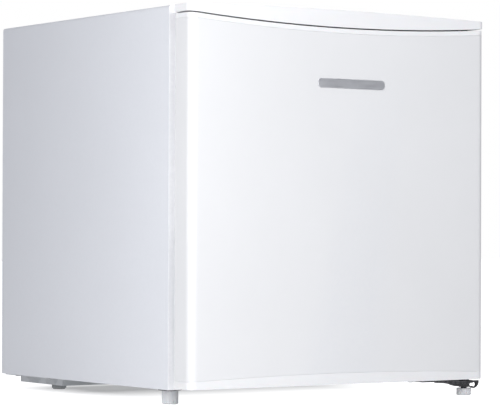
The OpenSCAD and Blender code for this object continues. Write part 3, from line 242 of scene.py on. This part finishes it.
def rubbery(name, colour, roughness):
    """Matt elastomer with a fine moulded skin, a pale bloom and painted shade in the hollows."""
    look = Look(name, colour, roughness, Sheen_Weight=0.15, Sheen_Roughness=0.5)
    bloom = tuple(c * 1.3 + 0.03 for c in colour)
    look.tint(look.remap(look.noise(55, 5), 0.45, 0.7, 0, 1), bloom, 0.4)
    # Painted shade: concave corners are darkened.
    look.tint(look.hollows(0.03), tuple(c * 0.5 for c in colour), 0.5)
    look.vary_roughness(look.noise(200, 3), roughness - 0.08, roughness + 0.08)
    look.bump(look.noise(1100, 3), 0.02)
    return look.material


def spangled(name, colour):
    """Hot-dip galvanised sheet with zinc spangle."""
    look = Look(name, colour, 0.4, metallic=1.0)
    grains = look.cells(55, "Color")
    split = look.add("SeparateColor")
    look.links.new(grains, split.inputs[0])
    look.tint(split.outputs[0], tuple(c * 0.72 for c in colour), 0.55)
    look.tint(look.remap(look.noise(9, 4), 0.5, 0.75, 0, 1), (0.55, 0.56, 0.56), 0.4)
    look.vary_roughness(split.outputs[1], 0.32, 0.55)
    look.bump(look.cells(55, feature="DISTANCE_TO_EDGE"), 0.015)
    look.bump(look.noise(600, 3), 0.008)
    return look.material


def clear_plastic(name, colour):
    """Crystal polystyrene: clear, faintly blue, with handling haze and a bluer colour on its edges
    as painted light.
    """
    look = Look(name, colour, 0.08, Transmission_Weight=0.82, IOR=1.55)
    # Painted light: convex edges are tinted bluer, as the plastic looks edge-on.
    look.tint(look.edges(0.02), (0.82, 0.90, 0.95), 0.5)
    look.vary_roughness(look.noise(35, 6, distortion=0.5), 0.04, 0.22)
    look.bump(look.noise(160, 2), 0.02)
    look.bump(look.noise(9, 1), 0.12)
    return look.material


def foamed(name, colour):
    """Rigid polyurethane foam with open cut cells."""
    look = Look(name, colour, 0.9, Subsurface_Weight=0.1, Subsurface_Scale=0.003)
    look.tint(look.remap(look.cells(700), 0.1, 0.6, 0, 1), tuple(c * 0.6 for c in colour), 0.7)
    look.tint(look.noise(20, 4), tuple(c * 0.85 for c in colour), 0.5)
    look.vary_roughness(look.noise(300, 2), 0.8, 1.0)
    look.bump(look.cells(700), 0.35)
    return look.material


def printed(name, colour):
    """Tampo-printed ink with slightly broken edges."""
    look = Look(name, colour, 0.5)
    thin = tuple(c * 1.5 + 0.03 for c in colour)
    look.tint(look.remap(look.noise(900, 3), 0.45, 0.7, 0, 1), thin, 0.35)
    look.vary_roughness(look.noise(300, 2), 0.4, 0.6)
    look.bump(look.noise(1500, 2), 0.006)
    return look.material


LOOKS = {
    # white_steel's paler front colour is painted light, and its darker base colour on the sides is
    # painted shade.
    "white_steel": painted_steel("white_steel", (0.70, 0.715, 0.75), 0.34,
                                 painted_light_front=(0.95, 0.95, 0.965)),
    "door_white": painted_steel("door_white", (0.70, 0.705, 0.715), 0.30, peel=0.009),
    "galvanised": spangled("galvanised", (0.62, 0.64, 0.66)),
    "white_plastic": moulded("white_plastic", (0.75, 0.755, 0.765), 0.38),
    "liner_white": moulded("liner_white", (0.86, 0.875, 0.885), 0.26, grain=0.006),
    "clear_plastic": clear_plastic("clear_plastic", (0.90, 0.955, 0.985)),
    "foam": foamed("foam", (0.82, 0.72, 0.48)),
    "black_steel": enamelled("black_steel", (0.008, 0.008, 0.010), 0.42),
    "zinc": bare_metal("zinc", (0.62, 0.63, 0.64), 0.34, (1, 1, 6), (0.50, 0.47, 0.36)),
    "pin_steel": bare_metal("pin_steel", (0.55, 0.55, 0.56), 0.26,
                            (0.3, 0.3, 9), (0.32, 0.29, 0.26)),
    "grey_plastic": moulded("grey_plastic", (0.30, 0.31, 0.32), 0.46, grain=0.03),
    "foot_white": moulded("foot_white", (0.64, 0.65, 0.665), 0.44, grain=0.03),
    "black_plastic": moulded("black_plastic", (0.025, 0.026, 0.028), 0.42, grain=0.03),
    "black_rubber": rubbery("black_rubber", (0.022, 0.022, 0.023), 0.72),
    "gasket_grey": rubbery("gasket_grey", (0.88, 0.885, 0.89), 0.55),
    "magnet": rubbery("magnet", (0.07, 0.065, 0.06), 0.8),
    "copper": bare_metal("copper", (0.80, 0.42, 0.28), 0.30, (2, 2, 0.6), (0.32, 0.16, 0.11), 0.55),
    "evaporator_aluminium": bare_metal("evaporator_aluminium", (0.80, 0.81, 0.82), 0.38,
                                       (0.4, 7, 7), (0.68, 0.70, 0.72)),
    "white_wire": moulded("white_wire", (0.86, 0.865, 0.87), 0.22, grain=0.004),
    "badge_grey": bare_metal("badge_grey", (0.74, 0.75, 0.77), 0.36,
                             (0.2, 8, 8), (0.66, 0.67, 0.69)),
}
INK = printed("scale_ink", (0.07, 0.08, 0.10))
HEAT_TINT = bare_metal("brazed", (0.36, 0.27, 0.22), 0.5, (2, 2, 2), (0.08, 0.06, 0.06), 0.8)

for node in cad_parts.values():
    slot_name = node.material_slots[0].material.name.split(".")[0]
    node.material_slots[0].material = LOOKS[slot_name]


# ---------- softened edges on the CAD nodes ----------

# Width of the rounded edge on each node, in millimetres
EDGE_MM = {
    "cabinet_shell": 0.25, "base_panel": 0.2, "bay_panel": 0.2, "back_panel": 0.2,
    "inner_liner": 0.7, "top_fascia": 0.9, "upper_hinge_bracket": 0.4,
    "lower_hinge_bracket": 0.35, "hinge_lock_nut": 0.5, "left_foot_plate": 0.4,
    "left_front_foot": 0.5, "right_front_foot": 0.3, "rear_glides": 0.6,
    "compressor_tray": 0.3, "compressor": 0.6, "compressor_grommets": 0.8,
    "compressor_bolts": 0.3, "relay_cover": 2.0, "cord_gland": 0.6,
    "condenser_brackets": 0.4, "filter_drier": 1.0, "evaporator": 0.3,
    "icebox_frame": 0.8, "icebox_flap": 0.5, "drip_tray_rails": 0.4, "drip_tray": 0.6,
    "thermostat_housing": 0.9, "thermostat_switch": 0.5, "thermostat_knob": 0.5,
    "door_skin": 0.12, "door_top_cap": 0.8, "door_bottom_cap": 0.9,
    "upper_door_bush": 0.4, "lower_door_bush": 0.4, "upper_rack": 0.7, "lower_rack": 0.7,
    "badge": 0.15, "lower_hinge_pin": 0.4, "upper_hinge_pin": 0.3, "left_foot_stud": 0.4,
}


WELD_MM = 0.002
FLAT_DEG, SHARP_DEG = 0.4, 38


def soften(node, width_mm):
    """Welds the split corners, rounds the sharp edges and evens out the shading."""
    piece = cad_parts[node]
    weld = piece.modifiers.new("weld", "WELD")
    weld.merge_threshold = WELD_MM * MM
    flat = piece.modifiers.new("join_flats", "DECIMATE")
    flat.decimate_type = "DISSOLVE"
    flat.angle_limit = math.radians(FLAT_DEG)
    bevel = piece.modifiers.new("edges", "BEVEL")
    bevel.width = width_mm * MM
    bevel.segments = 3
    bevel.limit_method = "ANGLE"
    bevel.angle_limit = math.radians(SHARP_DEG)
    bevel.use_clamp_overlap = True
    piece.modifiers.new("shading", "WEIGHTED_NORMAL").weight = 100


for name, width in EDGE_MM.items():
    soften(name, width)


# ---------- mesh building ----------

def make(name, verts, faces, slot, body, sharp_deg=34, look=None, replaced=()):
    """A mesh piece in the object's frame that rides on a body and may replace CAD nodes."""
    mesh = bpy.data.meshes.new(name)
    mesh.from_pydata([tuple(v) for v in verts], [], faces)
    bm = bmesh.new()
    bm.from_mesh(mesh)
    bmesh.ops.remove_doubles(bm, verts=bm.verts, dist=0.0005 * MM)
    bmesh.ops.recalc_face_normals(bm, faces=bm.faces)
    for face in bm.faces:
        face.smooth = True
    for edge in bm.edges:
        if len(edge.link_faces) == 2 and edge.calc_face_angle(0) > math.radians(sharp_deg):
            edge.smooth = False
    bm.to_mesh(mesh)
    bm.free()
    piece = bpy.data.objects.new(name, mesh)
    scene.collection.objects.link(piece)
    mesh.materials.append(look or LOOKS[slot])
    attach(piece, body)
    if replaced:
        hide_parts(*replaced)
    return piece


def rings_to_faces(count, size, closed_path=False):
    """Quads between consecutive rings of vertices, with flat caps on an open path."""
    faces = []
    for i in range(count if closed_path else count - 1):
        a, b = i * size, ((i + 1) % count) * size
        for j in range(size):
            k = (j + 1) % size
            faces.append((a + j, a + k, b + k, b + j))
    if not closed_path:
        faces.append(tuple(reversed(range(size))))
        faces.append(tuple((count - 1) * size + j for j in range(size)))
    return faces


def axes_for(direction):
    """Two unit vectors square to a direction."""
    forward = Vector(direction).normalized()
    helper = Vector((0, 0, 1)) if abs(forward.z) < 0.9 else Vector((1, 0, 0))
    side = forward.cross(helper).normalized()
    return side, side.cross(forward).normalized()


def lathe(base, direction, profile, segments):
    """Vertices and faces of a profile of (radius, height) turned about an axis."""
    side, up = axes_for(direction)
    forward = Vector(direction).normalized()
    verts = []
    for radius, height in profile:
        for i in range(segments):
            angle = 2 * math.pi * i / segments
            ring = side * math.cos(angle) + up * math.sin(angle)
            verts.append(Vector(base) + forward * height + ring * max(radius, 1e-5))
    return verts, rings_to_faces(len(profile), segments)


def sweep(path, outline, normal, closed=False):
    """An outline of (across, above) carried along a path that lies square to normal."""
    verts = []
    count = len(path)
    for i, point in enumerate(path):
        before = path[i - 1] if i or closed else point
        after = path[(i + 1) % count] if i + 1 < count or closed else point
        forward = (Vector(after) - Vector(before)).normalized()
        across = forward.cross(normal).normalized()
        verts += [Vector(point) + across * a + normal * b for a, b in outline]
    return verts, rings_to_faces(count, len(outline), closed_path=closed)


def join(*parts):
    """Several (vertices, faces) as one."""
    verts, faces = [], []
    for part_verts, part_faces in parts:
        base = len(verts)
        verts += part_verts
        faces += [tuple(base + i for i in face) for face in part_faces]
    return verts, faces


def islands(node):
    """Boxes of the separate solids in a CAD node."""
    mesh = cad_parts[node].data
    parent = {}

    def root(key):
        while parent.setdefault(key, key) != key:
            parent[key] = parent[parent[key]]
            key = parent[key]
        return key

    keys = [tuple(round(c * 2e5) for c in v.co) for v in mesh.vertices]
    for polygon in mesh.polygons:
        first = root(keys[polygon.vertices[0]])
        for index in polygon.vertices[1:]:
            parent[root(keys[index])] = first
    boxes = {}
    for key, vertex in zip(keys, mesh.vertices):
        low, high = boxes.setdefault(root(key), (vertex.co.copy(), vertex.co.copy()))
        for axis in range(3):
            low[axis] = min(low[axis], vertex.co[axis])
            high[axis] = max(high[axis], vertex.co[axis])
    return sorted(boxes.values(), key=lambda box: tuple(round(c, 4) for c in box[0]))


# ---------- screws with cross recesses ----------

# Radius and height of a pan head's rim and dome, in millimetres
HEAD_HEIGHT_MM = 1.8
HEAD_MM = [(4.0, 0.0), (4.0, 0.8), (3.85, 1.15), (3.5, 1.42), (3.0, 1.6), (2.6, 1.68),
           (2.35, 1.72), (2.1, 1.74), (1.7, 1.76), (1.2, 1.78), (0.75, 1.79),
           (0.45, HEAD_HEIGHT_MM), (0.0, HEAD_HEIGHT_MM)]
# The cross recess: how far it reaches, half its width, its depth and where that runs out
CROSS_REACH_MM, CROSS_HALF_MM, CROSS_DEPTH_MM, CROSS_END_MM = 2.3, 0.5, 1.1, 3.2


def screw(seat, direction, length):
    """A pan-head screw with a cross recess; direction points out of the head."""
    side, up = axes_for(direction)
    out = Vector(direction).normalized()
    segments = 48
    verts = []
    tip = -length / MM
    profile = [(0.0, tip), (1.5, tip + 1.5), (2.0, tip + 3), (2.0, 0.0)] + HEAD_MM
    for radius, height in profile:
        for i in range(segments):
            angle = 2 * math.pi * i / segments
            x, y = radius * math.cos(angle), radius * math.sin(angle)
            in_slot = min(abs(x), abs(y)) < CROSS_HALF_MM
            in_cross = radius < CROSS_REACH_MM and in_slot and height > 0
            drop = CROSS_DEPTH_MM * (1 - radius / CROSS_END_MM) if in_cross else 0.0
            verts.append(Vector(seat) + (side * x + up * y) * MM + out * (height - drop) * MM)
    return verts, rings_to_faces(len(profile), segments)


def screw_set(node, direction):
    """One detailed piece for every screw in a CAD node; direction points out of the heads."""
    out = Vector(direction)
    axis = max(range(3), key=lambda i: abs(out[i]))
    parts = []
    for low, high in islands(node):
        middle = (low + high) / 2
        head_end = high[axis] if out[axis] > 0 else low[axis]
        tail_end = low[axis] if out[axis] > 0 else high[axis]
        seat = middle.copy()
        seat[axis] = head_end - out[axis] * HEAD_HEIGHT_MM * MM
        parts.append(screw(seat, out, abs(seat[axis] - tail_end)))
    verts, faces = join(*parts)
    make(node + "_detailed", verts, faces, "zinc", "cabinet", 30, replaced=(node,))


screw_set("lower_bracket_screws", (0, 0, -1))
screw_set("foot_plate_screws", (0, 0, -1))
screw_set("tray_screws", (0, 0, -1))
screw_set("condenser_screws", (0, 1, 0))
screw_set("evaporator_screws", (0, 0, -1))


# ---------- door gasket: extruded bellows with mitred corners ----------

def mitred(outline, half, low, high, y0):
    """An outline of (inset, depth) carried round a rectangle, mitred at the corners."""
    verts = []
    for sx, top in ((-1, False), (1, False), (1, True), (-1, True)):
        for inset, depth in outline:
            z = high - inset if top else low + inset
            verts.append(Vector((sx * (half - inset), y0 + depth, z)))
    return verts, rings_to_faces(4, len(outline), closed_path=True)


def arc(cx, cy, radius, start, end, steps):
    """Points of an arc in a plane, in degrees."""
    return [(cx + radius * math.cos(math.radians(start + (end - start) * i / steps)),
             cy + radius * math.sin(math.radians(start + (end - start) * i / steps)))
            for i in range(steps + 1)]


def build_gasket():
    """The gasket's hollow section: foot in the liner's groove, bellows, magnet tube, lip."""
    low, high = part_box("door_gasket")
    depth = (high.y - low.y) / MM
    face = depth - 0.3
    outline = [(3.5, 0.0), (13.0, 0.0)]
    outline += [(13.4, 1.2), (14.2, 2.2), (15.2, 3.1), (15.6, 4.0), (15.0, 4.9)]
    outline += [(13.8, 5.5), (13.4, 6.2), (14.4, 6.9)]
    outline += arc(15.4, face - 2.4, 1.4, -80, 0, 4) + arc(16.0, face - 0.5, 0.8, 0, 90, 4)
    outline += [(12.5, face - 0.15), (9.0, face), (5.0, face - 0.1), (2.2, face)]
    outline += [(0.7, face + 0.3), (0.1, face - 0.1), (0.5, face - 0.7), (2.0, face - 1.0)]
    outline += [(2.6, face - 2.4), (2.4, 7.6), (1.5, 6.8), (0.5, 6.0), (0.15, 5.0)]
    outline += [(0.5, 4.0), (1.6, 3.2), (2.7, 2.4), (3.3, 1.4)]
    points = [(a * MM, b * MM) for a, b in outline]
    verts, faces = mitred(points, high.x, low.z, high.z, low.y)
    make("door_gasket_bellows", verts, faces, "gasket_grey", "door", 42, replaced=("door_gasket",))


build_gasket()


# ---------- door liner: vacuum-formed with soft corners ----------

CORNER_STEPS = 7


def rounded_ring(half, low, high, radius, y):
    """One closed ring of points round a rectangle with rounded corners."""
    points = []
    for sx, top, start in ((1, True, 0), (-1, True, 90), (-1, False, 180), (1, False, 270)):
        cx = sx * (half - radius)
        cz = high - radius if top else low + radius
        corner = arc(cx, cz, radius, start, start + 90, CORNER_STEPS)
        points += [Vector((x, y, z)) for x, z in corner]
    return points


def build_door_liner():
    """A flat edge, a raised frame that stands inside the gasket, and a sunk middle."""
    low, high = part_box("door_liner")
    rim_low, rim_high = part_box("door_gasket")
    inset, edge_radius = 28 * MM, 0.5 * MM
    frame_radius, least_radius = 13 * MM, 1.5 * MM
    back, crest = rim_low.y, (high.y - rim_low.y) / MM
    half, bottom, top = rim_high.x - inset, rim_low.z + inset, rim_high.z - inset
    profile = [(-5.0, 0.0), (-3.1, 0.4), (-1.5, 1.5), (-0.4, 3.1), (0.0, 5.0), (0.9, crest - 5.0)]
    profile += [(1.3, crest - 3.1), (2.4, crest - 1.5), (4.0, crest - 0.4), (5.9, crest)]
    profile += [(10.1, crest), (12.0, crest - 0.4), (13.6, crest - 1.5), (14.7, crest - 3.1)]
    profile += [(15.0, crest - 5.0), (15.2, 1.4), (15.5, 0.6), (16.1, 0.1), (16.5, 0.0)]
    rings = [rounded_ring(high.x, low.z, high.z, edge_radius, low.y),
             rounded_ring(high.x, low.z, high.z, edge_radius, back)]
    for across, depth in profile:
        d = across * MM
        radius = max(frame_radius - d, least_radius)
        rings.append(rounded_ring(half - d, bottom + d, top - d, radius, back + depth * MM))
    size = len(rings[0])
    verts = [v for points in rings for v in points]
    faces = rings_to_faces(len(rings), size)
    make("door_liner_formed", verts, faces, "liner_white", "door", 40, replaced=("door_liner",))


build_door_liner()


# ---------- ice box: roll-bonded refrigerant channels ----------

def meander(u0, u1, v0, v1, rows, radius):
    """A back-and-forth path with round turns, as points in a plane."""
    pitch = (v1 - v0) / (rows - 1)
    radius = min(radius, pitch / 2 - 1e-5)
    quarter = [i * math.pi / 16 for i in range(9)]
    points = []
    for row in range(rows):
        v = v0 + row * pitch
        a, b = (u0, u1) if row % 2 == 0 else (u1, u0)
        sign = 1 if b > a else -1
        if row:
            points += [(a + sign * radius - sign * radius * math.cos(t),
                        v - radius + radius * math.sin(t)) for t in quarter]
        else:
            points.append((a, v))
        if row < rows - 1:
            points += [(b - sign * radius + sign * radius * math.sin(t),
                        v + radius - radius * math.cos(t)) for t in quarter]
        else:
            points.append((b, v))
    return points


def channel_outline(half, height):
    """Half-round channel with soft feet, sunk a little into the sheet."""
    sunk = -0.2 * MM
    return [(-half, sunk), (-half, 0.0), (-0.8 * half, 0.22 * height),
            (-0.55 * half, 0.68 * height), (-0.25 * half, 0.95 * height), (0, height),
            (0.25 * half, 0.95 * height), (0.55 * half, 0.68 * height),
            (0.8 * half, 0.22 * height), (half, 0.0), (half, sunk)]


def build_channels():
    """Channels on both side sheets, the floor, the roof and the back of the ice box."""
    low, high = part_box("evaporator")
    sheet = 1.5 * MM
    outline = channel_outline(4.2 * MM, 1.5 * MM)
    sides = []
    path = meander(low.y + 0.018, high.y - 0.016, low.z + 0.012, high.z - 0.014, 4, 0.009)
    sides.append(([Vector((high.x, y, z)) for y, z in path], Vector((1, 0, 0))))
    sides.append(([Vector((low.x + sheet, y, z)) for y, z in path], Vector((1, 0, 0))))
    path = meander(low.x + 0.022, high.x - 0.022, low.y + 0.02, high.y - 0.02, 7, 0.012)
    sides.append(([Vector((x, y, low.z + sheet)) for x, y in path], Vector((0, 0, 1))))
    sides.append(([Vector((x, y, high.z - sheet)) for x, y in path], Vector((0, 0, -1))))
    path = meander(low.x + 0.02, high.x - 0.02, low.z + 0.014, high.z - 0.016, 3, 0.012)
    sides.append(([Vector((x, high.y - sheet, z)) for x, z in path], Vector((0, -1, 0))))
    verts, faces = join(*(sweep(points, outline, normal) for points, normal in sides))
    make("evaporator_channels", verts, faces, "evaporator_aluminium", "cabinet", 50)


build_channels()


# ---------- thermostat scale ----------

def digit(text, size, name):
    """The outline of a generic figure as a thin raised mesh lying in XY, centred."""
    curve = bpy.data.curves.new(name, "FONT")
    curve.body = text
    curve.size = size
    curve.align_x = "CENTER"
    curve.align_y = "CENTER"
    curve.extrude = 0.06 * MM
    holder = bpy.data.objects.new(name, curve)
    scene.collection.objects.link(holder)
    bpy.context.view_layer.update()
    mesh = bpy.data.meshes.new_from_object(holder)
    verts = [v.co.copy() for v in mesh.vertices]
    faces = [tuple(p.vertices) for p in mesh.polygons]
    bpy.data.objects.remove(holder)
    bpy.data.meshes.remove(mesh)
    return verts, faces


FIGURES, FIGURE_STEP_DEG, FIGURE_MM, FIGURE_INSET_MM = 7, 40, 4.6, 5.6


def build_dial():
    """Figures round the knob's face and a pointer above it on the housing."""
    low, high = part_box("thermostat_knob")
    radius = (high.x - low.x) / 2
    centre = Vector(((low.x + high.x) / 2, 0, (low.z + high.z) / 2))
    face_y = low.y + 3 * MM
    parts = []
    for number in range(1, FIGURES + 1):
        angle = math.radians(FIGURE_STEP_DEG * number)
        verts, faces = digit(str(number), FIGURE_MM * MM, f"figure_{number}")
        round_dial = Matrix.Rotation(-angle, 3, "Y")
        turn = round_dial @ Matrix.Rotation(math.radians(90), 3, "X")
        lift = round_dial @ Vector((0, 0, radius - FIGURE_INSET_MM * MM))
        forward = Vector((0, face_y, 0))
        parts.append(([turn @ v + lift + centre + forward for v in verts], faces))
    verts, faces = join(*parts)
    make("knob_figures", verts, faces, "black_plastic", "knob", look=INK)
    box_low, box_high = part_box("thermostat_housing")
    tip = centre.z + radius + 0.4 * MM
    top = min(box_high.z - 0.3 * MM, tip + 2.2 * MM)
    y = box_low.y - 0.12 * MM
    verts = [(centre.x, y, tip), (centre.x - 1.6 * MM, y, top), (centre.x + 1.6 * MM, y, top)]
    verts += [(x, box_low.y + 0.02 * MM, z) for x, _, z in verts]
    faces = [(0, 1, 2), (5, 4, 3), (0, 3, 4, 1), (1, 4, 5, 2), (2, 5, 3, 0)]
    make("dial_mark", verts, faces, "black_plastic", "cabinet", look=INK)


build_dial()


# ---------- compressor details ----------

def ring(centre, radius, thickness, segments=96, sides=10):
    """A torus lying flat."""
    path = [Vector((centre.x + radius * math.cos(a), centre.y + radius * math.sin(a), centre.z))
            for a in (2 * math.pi * i / segments for i in range(segments))]
    outline = [(thickness * math.cos(a), thickness * math.sin(a))
               for a in (2 * math.pi * i / sides for i in range(sides))]
    return sweep(path, outline, Vector((0, 0, 1)), closed=True)


def tube(path, radius, sides):
    """A round tube along points in any direction."""
    verts = []
    side = None
    for i, point in enumerate(path):
        before, after = path[max(i - 1, 0)], path[min(i + 1, len(path) - 1)]
        forward = (Vector(after) - Vector(before)).normalized()
        if side is None:
            side, _ = axes_for(forward)
        side = (side - forward * side.dot(forward)).normalized()
        up = side.cross(forward)
        for j in range(sides):
            a = 2 * math.pi * j / sides
            verts.append(Vector(point) + (side * math.cos(a) + up * math.sin(a)) * radius)
    return verts, rings_to_faces(len(path), sides)


def rounded_path(points, radius, steps=8):
    """A polyline with its corners rounded."""
    points = [Vector(p) for p in points]
    result = [points[0]]
    for before, corner, after in zip(points, points[1:], points[2:]):
        way_in, way_out = (corner - before).normalized(), (after - corner).normalized()
        start, end = corner - way_in * radius, corner + way_out * radius
        for i in range(steps + 1):
            t = i / steps
            result.append(start * (1 - t) ** 2 + corner * 2 * t * (1 - t) + end * t * t)
    result.append(points[-1])
    return result


SHELL_RADIUS = 56 * MM


def build_seam(centre, low, high):
    """The welded seam round the compressor's shell."""
    z = low.z + (high.z - low.z) * 0.55 + 3.2 * MM
    verts, faces = ring(Vector((centre.x, centre.y, z)), SHELL_RADIUS + 1.0 * MM, 1.3 * MM)
    make("compressor_seam", verts, faces, "black_steel", "cabinet", 60)


def build_process_tube(centre, low):
    """The short filling tube that is bent upwards and pinched flat at its end."""
    angle = math.radians(-118)
    out = Vector((math.cos(angle), math.sin(angle), 0))
    foot = centre + out * (SHELL_RADIUS - 3 * MM)
    z, reach, rise = low.z + 78 * MM, 14 * MM, 46 * MM
    path = [Vector((foot.x, foot.y, z)), Vector((foot.x, foot.y, z)) + out * reach,
            Vector((foot.x, foot.y, z + rise)) + out * reach]
    verts, faces = tube(rounded_path(path, 7 * MM), 3 * MM, 16)
    top = max(v.z for v in verts)
    axis = Vector((foot.x, foot.y, 0)) + out * reach
    for v in verts:
        pinch = max(0.0, min(1.0, (v.z - (top - 14 * MM)) / (8 * MM)))
        along = Vector((v.x - axis.x, v.y - axis.y, 0)).dot(out)
        shift = out * along * -0.72 * pinch
        v += Vector((shift.x, shift.y, 0))
    make("process_tube", verts, faces, "copper", "cabinet", 50)


def build_brazed_joints(centre, low, high):
    """Brazed collars where the two pipes meet the shell."""
    collar = [(0.0, 0.0), (4.4 * MM, 0.0), (4.5 * MM, 1.4 * MM), (4.0 * MM, 3.2 * MM),
              (3.2 * MM, 4.6 * MM), (0.0, 4.6 * MM)]
    collars = [lathe((high.x - 3 * MM, centre.y, low.z + height * MM), (1, 0, 0), collar, 28)
               for height in (52, 98)]
    verts, faces = join(*collars)
    make("brazed_joints", verts, faces, "copper", "cabinet", 40, look=HEAT_TINT)


def build_relay_clips(low, high):
    """Two wire bails that hold the relay cover on."""
    inset, proud = 14 * MM, 1.2 * MM
    x0, x1 = low.x - proud, high.x - inset
    y0, y1 = low.y - proud, high.y + proud
    bails = []
    for z in (low.z + inset, high.z - inset):
        path = rounded_path([(x1, y0, z), (x0, y0, z), (x0, y1, z), (x1, y1, z)], 3 * MM)
        bails.append(tube(path, 0.9 * MM, 10))
    verts, faces = join(*bails)
    make("relay_clips", verts, faces, "pin_steel", "cabinet", 50)


def build_compressor_details():
    low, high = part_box("compressor")
    bolts = islands("compressor_bolts")
    centre = Vector(((bolts[0][0].x + bolts[-1][1].x) / 2, (low.y + high.y) / 2, 0))
    build_seam(centre, low, high)
    build_process_tube(centre, low)
    build_brazed_joints(centre, low, high)
    build_relay_clips(*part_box("relay_cover"))


build_compressor_details()


# ---------- floor, light and camera ----------

# The floor's glow where the camera sees it, under the fridge's rear where it is dimmed as a painted
# shadow, and for all other light
FLOOR_SEEN, FLOOR_PAINTED_SHADOW, FLOOR_BOUNCE = 1.0, 0.30, 0.35
FLOOR_HALF = 14.0


def build_floor():
    """A pale floor whose glow is dimmed under the rear of the fridge, as a painted shadow."""
    corners = [(x * FLOOR_HALF, y * FLOOR_HALF, 0) for x, y in ((-1, -1), (1, -1), (1, 1), (-1, 1))]
    mesh = bpy.data.meshes.new("floor")
    mesh.from_pydata(corners, [], [(0, 1, 2, 3)])
    floor = bpy.data.objects.new("floor", mesh)
    scene.collection.objects.link(floor)
    look = Look("floor", (0.55, 0.55, 0.555), 0.75, Emission_Color=(1.0, 1.0, 1.0, 1))
    split = look.add("SeparateXYZ")
    look.links.new(look.where, split.inputs[0])
    across = look.add("Math", operation="ABSOLUTE")
    look.links.new(split.outputs["X"], across.inputs[0])
    # Painted shadow: the glow is dimmed in a patch under the fridge's rear.
    painted_shadow = look.times(look.remap(across.outputs[0], 0.16, 0.25, 1, 0),
                       look.times(look.remap(split.outputs["Y"], -0.06, 0.10, 0, 1),
                                  look.remap(split.outputs["Y"], 0.19, 0.27, 1, 0)))
    seen = look.add("LightPath").outputs["Is Camera Ray"]
    glow = look.add("MapRange")
    glow.inputs["To Min"].default_value = FLOOR_BOUNCE
    look.links.new(seen, glow.inputs["Value"])
    look.links.new(look.remap(painted_shadow, 0, 1, FLOOR_SEEN, FLOOR_PAINTED_SHADOW), glow.inputs["To Max"])
    look.links.new(glow.outputs[0], look.bsdf.inputs["Emission Strength"])
    look.tint(look.remap(look.noise(1.3, 3), 0.4, 0.7, 0, 1), (0.53, 0.53, 0.54), 0.5)
    look.vary_roughness(look.noise(6, 3), 0.7, 0.85)
    mesh.materials.append(look.material)


def area_light(name, place, target, size, power):
    """A rectangular lamp, unseen by the camera, that looks at a target."""
    light = bpy.data.lights.new(name, "AREA")
    light.shape = "RECTANGLE"
    light.size, light.size_y = size
    light.energy = power
    holder = bpy.data.objects.new(name, light)
    holder.location = place
    holder.rotation_mode = "QUATERNION"
    holder.rotation_quaternion = (Vector(target) - Vector(place)).to_track_quat("-Z", "Y")
    holder.visible_camera = False
    scene.collection.objects.link(holder)


# Name, place, target, size and power of each lamp
LAMPS = [
    ("key", (-0.06, -2.05, 1.50), (0.0, -0.24, 0.3), (0.9, 0.9), 22.8),
    ("side_fill", (-1.0, -0.74, 0.45), (-0.235, -0.15, 0.25), (0.4, 0.8), 7.9),
    ("top", (0, 0, 2.6), (0, 0, 0), (3.0, 3.0), 24),
]


def build_light():
    """Three lamps, and a world that is white to the camera and soft grey to everything else."""
    world = bpy.data.worlds.new("studio")
    world.use_nodes = True
    scene.world = world
    tree = world.node_tree
    background = tree.nodes["Background"]
    background.inputs["Strength"].default_value = 1.0
    seen = tree.nodes.new("ShaderNodeLightPath").outputs["Is Camera Ray"]
    mix = tree.nodes.new("ShaderNodeMix")
    mix.data_type = "RGBA"
    mix.inputs["A"].default_value = (0.235, 0.24, 0.27, 1)
    mix.inputs["B"].default_value = (1.0, 1.0, 1.0, 1)
    tree.links.new(seen, mix.inputs["Factor"])
    tree.links.new(mix.outputs["Result"], background.inputs["Color"])
    for lamp in LAMPS:
        area_light(*lamp)
    scene.view_settings.view_transform = "Standard"


CAMERA_PLACE = (-1.8414, -2.7289, 0.2136)
CAMERA_YAW_DEG, CAMERA_PITCH_DEG, CAMERA_ROLL_DEG = 34.27, 0.758, 0.19
CAMERA_LENS_MM = 173.64


def build_camera():
    yaw, pitch, roll = (math.radians(degrees) for degrees in
                        (CAMERA_YAW_DEG, CAMERA_PITCH_DEG, CAMERA_ROLL_DEG))
    forward = Vector((math.sin(yaw) * math.cos(pitch), math.cos(yaw) * math.cos(pitch),
                      math.sin(pitch)))
    right = Vector((math.cos(yaw), -math.sin(yaw), 0))
    up = right.cross(forward)
    rolled_right = right * math.cos(roll) + up * math.sin(roll)
    rolled_up = -right * math.sin(roll) + up * math.cos(roll)
    camera = bpy.data.cameras.new("camera")
    camera.sensor_width = 36
    camera.lens = CAMERA_LENS_MM
    camera.clip_end = 60
    holder = bpy.data.objects.new("camera", camera)
    scene.collection.objects.link(holder)
    columns = (rolled_right, rolled_up, -forward)
    turn = Matrix([[column[row] for column in columns] for row in range(3)])
    holder.matrix_world = Matrix.Translation(CAMERA_PLACE) @ turn.to_4x4()
    scene.camera = holder


build_floor()
build_light()
build_camera()
